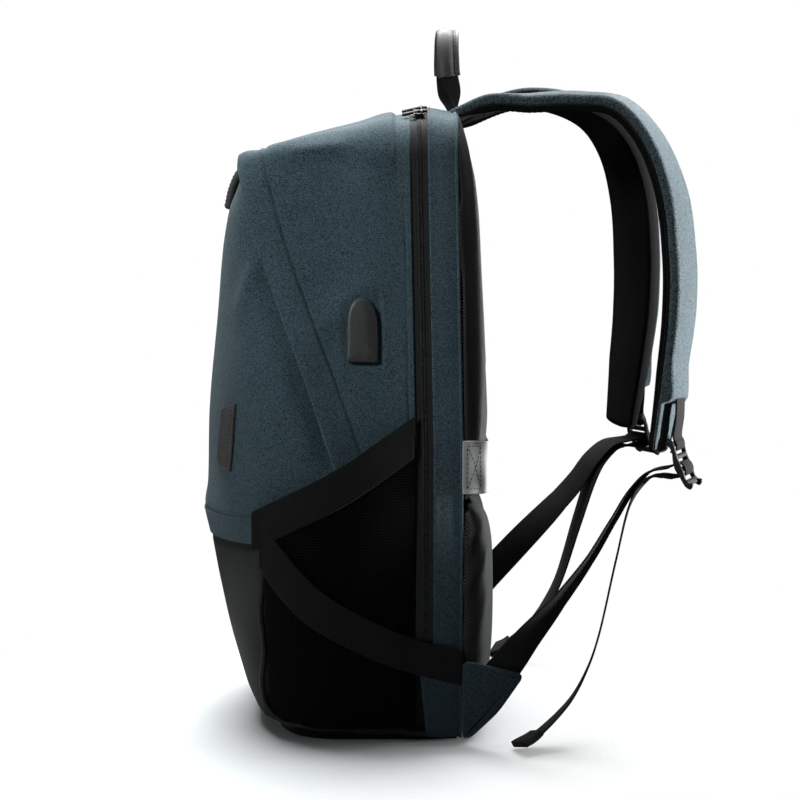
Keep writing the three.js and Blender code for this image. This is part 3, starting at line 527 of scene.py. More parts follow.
class Wire:
    """Value or colour in a shader, with operators that add Math nodes."""

    def __init__(self, recipe: "Recipe", socket: bpy.types.NodeSocket) -> None:
        """Wraps an output socket of a recipe's node."""
        self.recipe = recipe
        self.socket = socket

    def _math(self, operation: str, first: "Wire | float", second: "Wire | float" = 0.0) -> "Wire":
        """Result of a Math node on two values."""
        return self.recipe.node("ShaderNodeMath", {"operation": operation}, {0: first, 1: second})

    def __add__(self, other: "Wire | float") -> "Wire":
        """Sum."""
        return self._math("ADD", self, other)

    __radd__ = __add__

    def __sub__(self, other: "Wire | float") -> "Wire":
        """Difference."""
        return self._math("SUBTRACT", self, other)

    def __rsub__(self, other: float) -> "Wire":
        """Difference from a number."""
        return self._math("SUBTRACT", other, self)

    def __mul__(self, other: "Wire | float") -> "Wire":
        """Product."""
        return self._math("MULTIPLY", self, other)

    __rmul__ = __mul__

    def __truediv__(self, other: "Wire | float") -> "Wire":
        """Quotient."""
        return self._math("DIVIDE", self, other)

    def __rtruediv__(self, other: float) -> "Wire":
        """Quotient of a number."""
        return self._math("DIVIDE", other, self)

    def __pow__(self, other: "Wire | float") -> "Wire":
        """Power."""
        return self._math("POWER", self, other)

    def __rpow__(self, other: float) -> "Wire":
        """Power of a number."""
        return self._math("POWER", other, self)

    def sin(self) -> "Wire":
        """Sine."""
        return self._math("SINE", self)

    def size(self) -> "Wire":
        """Value without its sign."""
        return self._math("ABSOLUTE", self)

    def wave(self, pitch: float) -> "Wire":
        """Sine wave of a pitch, from -1 to 1."""
        return (self * (2 * math.pi / pitch)).sin()

    def cell(self) -> "Wire":
        """Distance from the nearest whole number, from 0 to a half."""
        return self._math("PINGPONG", self, 0.5)

    def step(self, low: float, high: float) -> "Wire":
        """Soft step from 0 at low to 1 at high."""
        settings = {"interpolation_type": "SMOOTHSTEP"}
        return self.recipe.node("ShaderNodeMapRange", settings, {"Value": self, "From Min": low, "From Max": high})

    def between(self, low: float, high: float) -> "Wire":
        """Value from 0 to 1 turned into a range."""
        return self * (high - low) + low


class Recipe:
    """Nodes of a material, or of the studio's surroundings."""

    WEAVE: ClassVar[str] = "weave"

    def __init__(self, owner: "bpy.types.Material | bpy.types.World", shader: str = "Principled BSDF") -> None:
        """Starts with the shader that comes with the nodes.

        Args:
            owner: what the nodes belong to.
            shader: name of its shader.
        """
        owner.use_nodes = True
        self.tree = owner.node_tree
        self.shader = self.tree.nodes[shader]

    def node(
        self,
        kind: str,
        settings: dict[str, object] | None = None,
        inputs: dict[str | int, object] | None = None,
        output: str | int = 0,
    ) -> Wire:
        """Adds a node.

        Args:
            kind: type of the node.
            settings: properties, set first.
            inputs: values or wires by socket.
            output: socket that is taken from it.

        Returns:
            The wire from that socket.
        """
        made = self.tree.nodes.new(kind)
        for key, value in (settings or {}).items():
            setattr(made, key, value)
        for key, value in (inputs or {}).items():
            self.feed(made.inputs[key], value)
        return Wire(self, made.outputs[output])

    def feed(self, socket: bpy.types.NodeSocket, value: object) -> None:
        """Links a wire to a socket, or sets its value.

        Args:
            socket: the socket.
            value: a wire, a number or a colour.
        """
        if isinstance(value, Wire):
            self.tree.links.new(value.socket, socket)
        elif isinstance(value, tuple) and len(value) == 3 and socket.type == "RGBA":
            socket.default_value = (*value, 1.0)
        else:
            socket.default_value = value

    def set(self, **values: object) -> None:
        """Sets sockets of the shader by name, with _ for a space."""
        for key, value in values.items():
            self.feed(self.shader.inputs[key.replace("_", " ")], value)

    def place(self) -> Wire:
        """Place on the object, in metres."""
        return self.node("ShaderNodeTexCoord", output="Object")

    def weave(self) -> tuple[Wire, Wire]:
        """Cloth coordinates across and along, in millimetres."""
        vector = self.node("ShaderNodeAttribute", {"attribute_name": self.WEAVE}, output="Vector")
        return self.part(vector, "X"), self.part(vector, "Y")

    def part(self, vector: Wire, axis: str) -> Wire:
        """One axis of a vector."""
        return self.node("ShaderNodeSeparateXYZ", inputs={0: vector}, output=axis)

    def vector(self, x: "Wire | float", y: "Wire | float", z: "Wire | float" = 0.0) -> Wire:
        """Vector of three values."""
        return self.node("ShaderNodeCombineXYZ", inputs={"X": x, "Y": y, "Z": z})

    def noise(self, vector: Wire, scale: float, detail: float = 2.0, roughness: float = 0.5) -> Wire:
        """Noise from 0 to 1."""
        inputs = {"Vector": vector, "Scale": scale, "Detail": detail, "Roughness": roughness}
        return self.node("ShaderNodeTexNoise", inputs=inputs)

    def cells(self, vector: Wire, scale: float) -> Wire:
        """Distance to the nearest of many scattered points."""
        return self.node("ShaderNodeTexVoronoi", inputs={"Vector": vector, "Scale": scale}, output="Distance")

    def mix(self, share: "Wire | float", first: "Wire | Colour", second: "Wire | Colour") -> Wire:
        """Colour between two."""
        return self.node("ShaderNodeMix", {"data_type": "RGBA"}, {0: share, 6: first, 7: second}, output=2)

    def bump(self, height: Wire, depth_mm: float, strength: float = 1.0) -> None:
        """Feeds a height into the shader's normal.

        Args:
            height: height from about 0 to 1.
            depth_mm: height of 1 in millimetres.
            strength: share of the effect.
        """
        inputs = {"Height": height, "Distance": depth_mm * MM, "Strength": strength}
        self.set(Normal=self.node("ShaderNodeBump", inputs=inputs))


@dataclass(frozen=True)
class Finish:
    """Finish of a surface, painted once as a material."""

    name: str
    colour: Colour
    pale: Colour
    roughness: float = 0.8
    shine: float = 0.12
    made: ClassVar[dict[str, bpy.types.Material]] = {}

    def material(self) -> bpy.types.Material:
        """Material of the finish.

        Returns:
            The material, painted on first use.
        """
        if self.name not in self.made:
            self.made[self.name] = bpy.data.materials.new(self.name)
            self.paint(Recipe(self.made[self.name]))
        return self.made[self.name]

    def dull(self, value: Wire, low: float = 0.1, high: float = 0.1) -> Wire:
        """Roughness of the finish, varied a little by a value from 0 to 1."""
        return value.between(self.roughness - low, self.roughness + high)

    def paint(self, recipe: Recipe) -> None:
        """Plain surface with faint blotches.

        Args:
            recipe: nodes of the material.
        """
        blotch = recipe.noise(recipe.place(), 400.0, 3.0)
        recipe.set(Base_Color=recipe.mix(blotch.step(0.3, 0.7), self.colour, self.pale))
        recipe.set(Roughness=self.dull(blotch, 0.06, 0.06), Specular_IOR_Level=self.shine)
        recipe.bump(blotch, 0.08)


@dataclass(frozen=True)
class Melange(Finish):
    """Woven cloth of two thread colours with a soft bloom."""

    pitch: float = 0.62
    sheen: float = 0.1
    fleck: float = 1800.0
    slub: float = 0.0

    def paint(self, recipe: Recipe) -> None:
        """Flecked threads over a fine plain weave.

        Args:
            recipe: nodes of the material.
        """
        u, v = recipe.weave()
        place = recipe.place()
        fleck = recipe.noise(place, self.fleck, 1.0, 0.6)
        thread = self.fleck / 1000
        weft = recipe.noise(recipe.vector(u * 0.6, v * 1.6), thread, 1.0)
        warp = recipe.noise(recipe.vector(u * 1.6, v * 0.6, 7.0), thread, 1.0)
        tone = fleck * 0.5 + weft * 0.25 + warp * 0.25
        patch = recipe.noise(place, 14.0, 2.0)
        slub = (recipe.noise(recipe.vector(u * 0.1, v * 0.55), 1.0, 2.0) - 0.5) * self.slub
        share = tone.step(0.46, 0.54) + (patch - 0.5) * 0.25 + slub
        # Painted shade: below 200 mm the cloth's colour is pulled towards the dark thread colour, to about a third of
        # its pale share at the floor, standing in for light that falls off towards the foot.
        painted_light_share = recipe.part(place, "Z").step(0.0, 0.2).between(0.35, 1.0)
        recipe.set(Base_Color=recipe.mix(share * painted_light_share, self.colour, self.pale))
        recipe.set(Roughness=self.dull(tone))
        recipe.set(Sheen_Weight=self.sheen, Sheen_Roughness=0.4, Sheen_Tint=(0.9, 0.95, 1.0), Specular_IOR_Level=0.25)
        recipe.bump(u.wave(self.pitch) * v.wave(self.pitch) * 0.4 + tone * 1.6 + slub, 0.3, 0.7)


@dataclass(frozen=True)
class Coated(Finish):
    """Coated cloth: close weave under a satin skin."""

    def paint(self, recipe: Recipe) -> None:
        """Fine grain with slight rubs.

        Args:
            recipe: nodes of the material.
        """
        u, v = recipe.weave()
        place = recipe.place()
        grain = recipe.noise(place, 900.0, 3.0, 0.6)
        rub = recipe.noise(place, 26.0, 3.0)
        # Painted shade: from 140 mm down to 20 mm the coated cloth's colour fades to its dark colour, standing in for
        # light that falls off towards the floor; the same mask also makes it a little rougher there.
        painted_light_share = recipe.part(place, "Z").step(0.02, 0.14)
        recipe.set(Base_Color=recipe.mix((grain * 0.6 + rub * 0.4) * painted_light_share, self.colour, self.pale))
        recipe.set(Roughness=self.dull(rub) + (1 - painted_light_share) * 0.2, Specular_IOR_Level=0.13)
        recipe.bump(grain + u.wave(0.8) * v.wave(0.8) * 0.3, 0.14, 0.6)


@dataclass(frozen=True)
class AirMesh(Finish):
    """Spacer mesh with a slanted twill of small openings."""

    pitch: float = 2.3

    def paint(self, recipe: Recipe) -> None:
        """Twill dots that follow the place, so that they need no cloth coordinates.

        Args:
            recipe: nodes of the material.
        """
        place = recipe.place()
        x, y, z = (recipe.part(place, axis) * 1000.0 for axis in "XYZ")
        level = y - x.size()
        twill = (z - level * 0.8).wave(self.pitch)
        breaks = (z + level * 0.9).wave(self.pitch * 1.6)
        fleck = recipe.noise(place, 1300.0, 2.0)
        height = (twill * 0.75 + breaks * 0.35).step(-0.5, 0.7)
        recipe.set(Base_Color=recipe.mix(height * 0.65 + fleck * 0.35, self.colour, self.pale))
        recipe.set(Roughness=self.dull(height, -0.08, -0.1), Specular_IOR_Level=0.06)
        recipe.bump(height + fleck * 0.4, 0.6, 0.8)


class Rib(Enum):
    """Lie of the ribs in a narrow woven strip."""

    ACROSS = "across"
    ALONG = "along"


@dataclass(frozen=True)
class Ribbed(Finish):
    """Narrow woven strip: webbing, tape or elastic."""

    rib: Rib = Rib.ACROSS
    pitch: float = 1.5
    sheen: float = 0.02

    def paint(self, recipe: Recipe) -> None:
        """Ribs one way and finer threads the other.

        Args:
            recipe: nodes of the material.
        """
        u, v = recipe.weave()
        main, other = (v, u) if self.rib is Rib.ACROSS else (u, v)
        rib = main.wave(self.pitch) * 0.5 + 0.5
        thread = (other + main * 0.5).wave(self.pitch * 0.8) * 0.5 + 0.5
        fleck = recipe.noise(recipe.vector(u, v), 1.1, 2.0)
        height = rib * 0.6 + thread * 0.4
        recipe.set(Base_Color=recipe.mix(height * 0.5 + fleck * 0.5, self.colour, self.pale))
        recipe.set(Roughness=self.dull(fleck, 0.08))
        recipe.set(Sheen_Weight=self.sheen, Sheen_Roughness=0.4, Specular_IOR_Level=self.shine)
        recipe.bump(height, 0.2, 0.6)


@dataclass(frozen=True)
class Netting(Finish):
    """Pocket netting with rows of small slots right through it."""

    across: float = 2.2
    up: float = 2.1

    def paint(self, recipe: Recipe) -> None:
        """Slots as see-through places between raised threads.

        Args:
            recipe: nodes of the material.
        """
        u, v = recipe.weave()
        wide = (u / self.across).cell()
        tall = (v / self.up).cell()
        slot = wide.step(0.17, 0.23) * tall.step(0.24, 0.3)
        fleck = recipe.noise(recipe.vector(u, v), 1.6, 2.0)
        recipe.set(Base_Color=recipe.mix(fleck, self.colour, self.pale), Alpha=1 - slot)
        recipe.set(Roughness=self.dull(fleck), Specular_IOR_Level=self.shine)
        recipe.bump(fleck * 0.4 + (1 - slot) * 0.8, 0.3, 0.7)


@dataclass(frozen=True)
class Hide(Finish):
    """Smooth leather with a fine pebbled grain."""

    grain: float = 900.0

    def paint(self, recipe: Recipe) -> None:
        """Pebbles with paler tops.

        Args:
            recipe: nodes of the material.
        """
        place = recipe.place()
        pebble = recipe.cells(place, self.grain)
        cloud = recipe.noise(place, 120.0, 3.0)
        recipe.set(Base_Color=recipe.mix(cloud * 0.7 + pebble * 0.3, self.colour, self.pale))
        recipe.set(Roughness=self.dull(cloud), Specular_IOR_Level=0.26)
        recipe.bump(1 - pebble, 0.1, 0.6)


@dataclass(frozen=True)
class Metal(Finish):
    """Dark plated metal with light scuffs."""

    def paint(self, recipe: Recipe) -> None:
        """Scuffs that dull the plate.

        Args:
            recipe: nodes of the material.
        """
        scuff = recipe.noise(recipe.place(), 700.0, 4.0, 0.6)
        recipe.set(Base_Color=recipe.mix(scuff, self.colour, self.pale), Metallic=0.9)
        recipe.set(Roughness=self.dull(scuff, high=0.15))
        recipe.bump(scuff, 0.03, 0.5)


WOVEN = Melange("woven_cloth", (0.0035, 0.009, 0.0125), (0.051, 0.094, 0.116), 0.85)
STRAP_CLOTH = Melange(
    "strap_cloth", (0.0045, 0.009, 0.0115), (0.054, 0.083, 0.096), 0.85, sheen=0.1, fleck=950.0, slub=1.3,
)
COATED = Coated("coated_cloth", (0.0028, 0.003, 0.003), (0.03, 0.0315, 0.0312), 0.52)
AIR_MESH = AirMesh("air_mesh", (0.0014, 0.0015, 0.0016), (0.058, 0.0605, 0.061), 0.88)
LINING = AirMesh("strap_lining_mesh", (0.0016, 0.0016, 0.0017), (0.006, 0.0062, 0.0064), 0.92, pitch=1.7)
TAPE = Ribbed("zip_tape_weave", (0.0018, 0.002, 0.002), (0.024, 0.026, 0.026), 0.8, rib=Rib.ALONG, pitch=0.9)
STRAP_WEB = Ribbed(
    "webbing_weave", (0.0024, 0.0024, 0.0025), (0.022, 0.0226, 0.023), 0.8, 0.03, rib=Rib.ACROSS, pitch=1.6,
)
ELASTIC = Ribbed(
    "elastic_weave", (0.0008, 0.0009, 0.0009), (0.017, 0.0175, 0.0175), 0.88, 0.03, rib=Rib.ALONG, pitch=1.9,
)
GREY = Ribbed(
    "grey_band_weave", (0.13, 0.134, 0.137), (0.32, 0.327, 0.333), 0.55, rib=Rib.ALONG, pitch=1.1, sheen=0.1,
)
NET = Netting("pocket_net", (0.0006, 0.0006, 0.0006), (0.0042, 0.0044, 0.0044), 0.9, 0.03)
HIDE = Hide("dark_leather", (0.0055, 0.0055, 0.0058), (0.062, 0.0626, 0.063), 0.55)
RUBBER = Finish("cover_rubber", (0.0155, 0.0168, 0.017), (0.023, 0.0245, 0.0248), 0.5, 0.42)
PLASTIC = Finish("lock_plastic", (0.003, 0.003, 0.0032), (0.0065, 0.0066, 0.0068), 0.48, 0.25)
PLATE = Metal("dark_metal", (0.012, 0.012, 0.0125), (0.035, 0.035, 0.036), 0.3)
COIL = Finish("zip_coil_nylon", (0.004, 0.0043, 0.0043), (0.014, 0.0148, 0.0148), 0.6, 0.12)
TEAL_THREAD = Finish("teal_thread", (0.02, 0.033, 0.039), (0.05, 0.075, 0.085), 0.6)
BLACK_THREAD = Finish("black_thread", (0.003, 0.003, 0.003), (0.01, 0.01, 0.01), 0.6)
BLACK_BINDING = Finish("black_binding", (0.003, 0.0031, 0.0031), (0.007, 0.0073, 0.0073), 0.7, 0.06)
PIPING = Finish("boot_piping_cloth", (0.005, 0.0053, 0.0053), (0.016, 0.0166, 0.0166), 0.62)

SKIN = Table(
    "z half front square",
    (0, 127, -89, 3.2), (14, 134, -104.5, 3.0), (54, 138, -119.6, 2.8), (106, 140, -132.5, 2.6),
    (150, 141, -141.5, 2.6), (172, 141.5, -146, 2.6), (190, 141.5, -143.5, 2.6), (250, 141.5, -141, 2.7),
    (326, 141, -133.5, 3.0), (376, 140, -127.3, 3.8), (410, 138.5, -120.3, 5.0), (440, 136, -111, 6.5),
)
HOOD_EDGE = Table("z y", (200, -31), (268, -53.5), (324, -73.5), (378, -92), (410, -101), (436, -108.5))
POCKET_SIDE = Table(
    "z y", (151, -98), (165, -86), (198, -30), (268, -41), (324, -61), (378, -79), (410, -88), (443, -94),
)
POCKET_DUCK = Table("z inward", (380, 0), (410, 1), (427, 3), (437, 8), (443, 20))
UPPER_ELASTIC = Table("y z", (-95, 162), (-31, 198), (24, 235))
LOWER_ELASTIC = Table("y z", (-89.5, 153), (-50, 109), (-11, 84.5), (24, 69), (59.5, 59.5))
BACK_PAD = Table(
    "z rise", (186, 7), (198, 17.5), (223, 18), (300, 16.5), (364, 14.5), (414, 13.5), (452, 10.5), (472, 7), (486, 1),
)
LUMBAR_PAD = Table("z rise", (0, 7), (12, 17), (44, 23), (126, 23.5), (159, 22.5), (172, 18), (181, 9))


@dataclass(frozen=True)
class Crest:
    """Roof of the bag at one place from back to front."""

    top: float
    crown: float
    radius: float


@dataclass(frozen=True)
class Form:
    """Outer form that the panels of the bag follow, in millimetres."""

    corner_y: float = -20.0
    zip_front: float = 25.4
    zip_width: float = 14.0
    seam: float = 60.0
    lean_by: float = 4.5
    lean_from: float = 225.0
    lean_to: float = 440.0
    zip_end: float = 80.0
    visor: float = -116.0
    visor_sweep: float = 7.0
    lift: float = 2.9
    gap: float = 0.4
    turn: float = math.radians(76.0)
    port_y: float = -14.0
    port_low: float = 291.0
    port_high: float = 338.0
    port_width: float = 23.0

    @property
    def hood_back(self) -> float:
        """Zip edge of the hood on the roof."""
        return self.zip_front - self.lean_by

    def half(self, z: float) -> float:
        """Half width of the skin at a height."""
        return SKIN.at("half", z)

    def skin_x(self, y: float, z: float) -> float:
        """Half width of the skin at a place on the side.

        Args:
            y: place from back to front.
            z: height.

        Returns:
            The half width.
        """
        reach = (self.corner_y - y) / (self.corner_y - SKIN.at("front", z))
        if reach <= 0:
            return self.half(z)
        square = SKIN.at("square", z)
        return self.half(z) * max(1 - reach**square, 0.0) ** (1 / square)

    def skin_around(self, angle: float, z: float) -> np.ndarray:
        """Skin at an angle about the corner line: 0 is square to the side, a quarter turn the front.

        Args:
            angle: the angle.
            z: height.

        Returns:
            The place.
        """
        square = SKIN.at("square", z)
        side, ahead = math.cos(angle), math.sin(angle)
        depth = self.corner_y - SKIN.at("front", z)
        reach = (abs(side / self.half(z)) ** square + abs(ahead / depth) ** square) ** (-1 / square)
        return np.array([side * reach, self.corner_y - ahead * reach, z])

    def side_point(self, y: float, z: float, stand: float) -> np.ndarray:
        """Place on the right side, stood off the skin along its plan normal.

        Args:
            y: place from back to front.
            z: height.
            stand: distance off the skin.

        Returns:
            The place.
        """
        slope = self.skin_x(y + 0.5, z) - self.skin_x(y - 0.5, z)
        size = math.hypot(1, slope)
        return np.array([self.skin_x(y, z) + stand / size, y - slope * stand / size, z])

    def lean(self, z: float) -> float:
        """How far the side lines lean forward at a height."""
        return -self.lean_by * clamp((z - self.lean_from) / (self.lean_to - self.lean_from))

    def zip_y(self, z: float) -> float:
        """Front edge of the zip at a height."""
        return self.zip_front + self.lean(z)

    def seam_y(self, z: float) -> float:
        """Back seam at a height."""
        return self.seam + self.lean(z)

    def crest(self, y: float) -> Crest:
        """Roof height, crown and corner radius at a place from back to front.

        Args:
            y: place from back to front.

        Returns:
            The roof there.
        """
        v = (self.hood_back - y) / (self.hood_back - self.visor)
        if v < 0:
            return Crest(485 + 5 * (y - self.hood_back) / (self.seam - self.zip_front), 14, 32)
        return Crest(lerp(485, 448.5, v) + 4 * math.sin(math.pi * v), lerp(14, 5, v), lerp(32, 9, v))

    def corner_start(self, y: float) -> float:
        """Height where the side gives way to the rounded corner of the roof."""
        crest = self.crest(y)
        return crest.top - crest.crown - crest.radius * math.sin(self.turn)

    def corner_round(self, y: float, lift: float) -> float:
        """Radius of the rounded corner of a layer lifted off the skin."""
        return self.crest(y).radius + lift - self.lift

    def corner_side(self, y: float, lift: float) -> float:
        """Half width where the rounded corner starts."""
        return self.skin_x(y, self.corner_start(y)) + lift

    def corner_x(self, y: float, lift: float) -> float:
        """Half width where the rounded corner ends in the roof."""
        return self.corner_side(y, lift) - self.corner_round(y, lift) * (1 - math.cos(self.turn))

    def arch_corner(self, share: float, y: float, lift: float) -> np.ndarray:
        """Place on the rounded corner, share 0 at the side and 1 at the roof.

        Args:
            share: the share.
            y: place from back to front.
            lift: distance off the skin.

        Returns:
            The place.
        """
        angle, round_ = self.turn * share, self.corner_round(y, lift)
        x = self.corner_side(y, lift) - round_ * (1 - math.cos(angle))
        return np.array([x, y, self.corner_start(y) + round_ * math.sin(angle)])

    def roof_height(self, x: float, y: float, lift: float, edge: float | None = None) -> float:
        """Height of the roof above a place across the bag."""
        crest = self.crest(y)
        return crest.top + lift - self.lift - crest.crown * (x / (edge or self.corner_x(y, lift))) ** 2

    def arch(
        self, lows: Sequence[float], lift: float, place_y: Callable[[float], float], steps: int = 48
    ) -> np.ndarray:
        """Line of places over the bag from right to left.

        Args:
            lows: heights of the first places.
            lift: distance off the skin.
            place_y: Y of the line at a height.
            steps: places up each side.

        Returns:
            The places, low end to low end.
        """
        top_y = place_y(self.lean_to)
        start, edge = self.corner_start(top_y), self.corner_x(top_y, lift)
        heights = [*lows, *(lerp(lows[-1], start, i / steps) for i in range(1, steps))]
        half = [(self.skin_x(place_y(z), z) + lift, place_y(z), z) for z in heights]
        half += [tuple(self.arch_corner(i / 12, top_y, lift)) for i in range(12)]
        half += [(x, top_y, self.roof_height(x, top_y, lift)) for x in np.linspace(edge, 0, 28)]
        right = np.array(half)
        return np.concatenate([right, right[-2::-1] * (-1, 1, 1)])


@dataclass(frozen=True)
class Fold:
    """Soft ridge on a side panel between two places of Y and Z."""

    start: tuple[float, float]
    end: tuple[float, float]
    height: float
    width: float

    def at(self, p: np.ndarray) -> float:
        """Height of the ridge at a place.

        Args:
            p: the place.

        Returns:
            The height.
        """
        a, b, q = np.array(self.start), np.array(self.end), np.asarray(p)[1:]
        t = float((q - a).dot(b - a) / (b - a).dot(b - a))
        gap = float(np.linalg.norm(q - a - clamp(t) * (b - a)))
        return self.height * bell(gap, self.width) * (1 - 0.6 * (2 * clamp(t) - 1) ** 4)


def mirror_right(right: np.ndarray) -> np.ndarray:
    """Grid of the right half, ending at the middle, joined by its mirror image."""
    return np.concatenate([right, right[:, -2::-1] * (-1, 1, 1)], axis=1)


def pick(grid: np.ndarray, row: float, column: float) -> np.ndarray:
    """Point of a grid between its rows and columns.

    Args:
        grid: points as rows, columns and X, Y, Z.
        row: place among the rows.
        column: place among the columns.

    Returns:
        The point.
    """
    r = min(int(row), len(grid) - 2)
    c = min(int(column), grid.shape[1] - 2)
    low = lerp(grid[r, c], grid[r, c + 1], column - c)
    high = lerp(grid[r + 1, c], grid[r + 1, c + 1], column - c)
    return lerp(low, high, row - r)


def trace(grid: np.ndarray, places: Iterable[tuple[float, float]]) -> tuple[np.ndarray, np.ndarray]:
    """Path over a grid through places of row and column.

    Args:
        grid: points as rows, columns and X, Y, Z.
        places: rows and columns along the path.

    Returns:
        The path and the direction out of the grid along it.
    """
    normals = grid_normals(grid)
    spots = list(places)
    return np.array([pick(grid, r, c) for r, c in spots]), np.array([pick(normals, r, c) for r, c in spots])


def domed(rings: np.ndarray, start: float, end: float) -> np.ndarray:
    """Rings with rounded ends.

    Args:
        rings: points as rings, points in a ring and X, Y, Z.
        start: how far the first end rounds out.
        end: how far the last end rounds out.

    Returns:
        The rings with those of the rounded ends.
    """
    made = [rings]
    for ring, after, reach, first in ((rings[0], rings[1], start, True), (rings[-1], rings[-2], end, False)):
        if reach <= 0:
            continue
        middle = ring.mean(axis=0)
        ahead = unit(middle - after.mean(axis=0))
        caps = [middle + (ring - middle) * math.sqrt(1 - k * k) + ahead * reach * k for k in (0.35, 0.65, 0.86, 0.97)]
        if first:
            made.insert(0, np.array(caps[::-1]))
        else:
            made.append(np.array(caps))
    return np.concatenate(made)


def strip(route: Route, width: float, thick: float, count: int) -> tuple[np.ndarray, np.ndarray]:
    """Rings of a flat strip along a route.

    Args:
        route: its middle line.
        width: its width.
        thick: its thickness.
        count: number of rings.

    Returns:
        The rings, and the place across the strip of each point of a ring.
    """
    outline = rounded_box(width / 2, -thick / 2, thick / 2, thick * 0.4, 3)
    return np.array([s.place(outline) for s in route.stations(count)]), outline[:, 0]


def soften(corners: Sequence[tuple[float, float]], radius: float, steps: int = 6) -> np.ndarray:
    """Outline with each of its corners rounded.

    Args:
        corners: the corners in order.
        radius: how far from a corner its rounding starts.
        steps: points in each rounding.

    Returns:
        The points of the outline.
    """
    points = np.array(corners, float)
    made = []
    for i, corner in enumerate(points):
        before, after = points[i - 1] - corner, points[(i + 1) % len(points)] - corner
        a = corner + before * min(radius / np.linalg.norm(before), 0.45)
        b = corner + after * min(radius / np.linalg.norm(after), 0.45)
        for t in np.linspace(0, 1, steps):
            made.append(a * (1 - t) ** 2 + corner * 2 * t * (1 - t) + b * t**2)
    return np.array(made)


def inset(outline: np.ndarray, amount: "float | np.ndarray") -> np.ndarray:
    """Outline drawn in towards its inside.

    Args:
        outline: its points in order.
        amount: how far each point moves in.

    Returns:
        The new outline.
    """
    ahead = unit(np.roll(outline, -1, axis=0) - np.roll(outline, 1, axis=0))
    inward = np.stack([-ahead[:, 1], ahead[:, 0]], axis=1)
    turned = np.sum(outline[:, 0] * np.roll(outline[:, 1], -1) - np.roll(outline[:, 0], -1) * outline[:, 1])
    return outline + inward * np.sign(turned) * np.reshape(amount, (-1, 1))


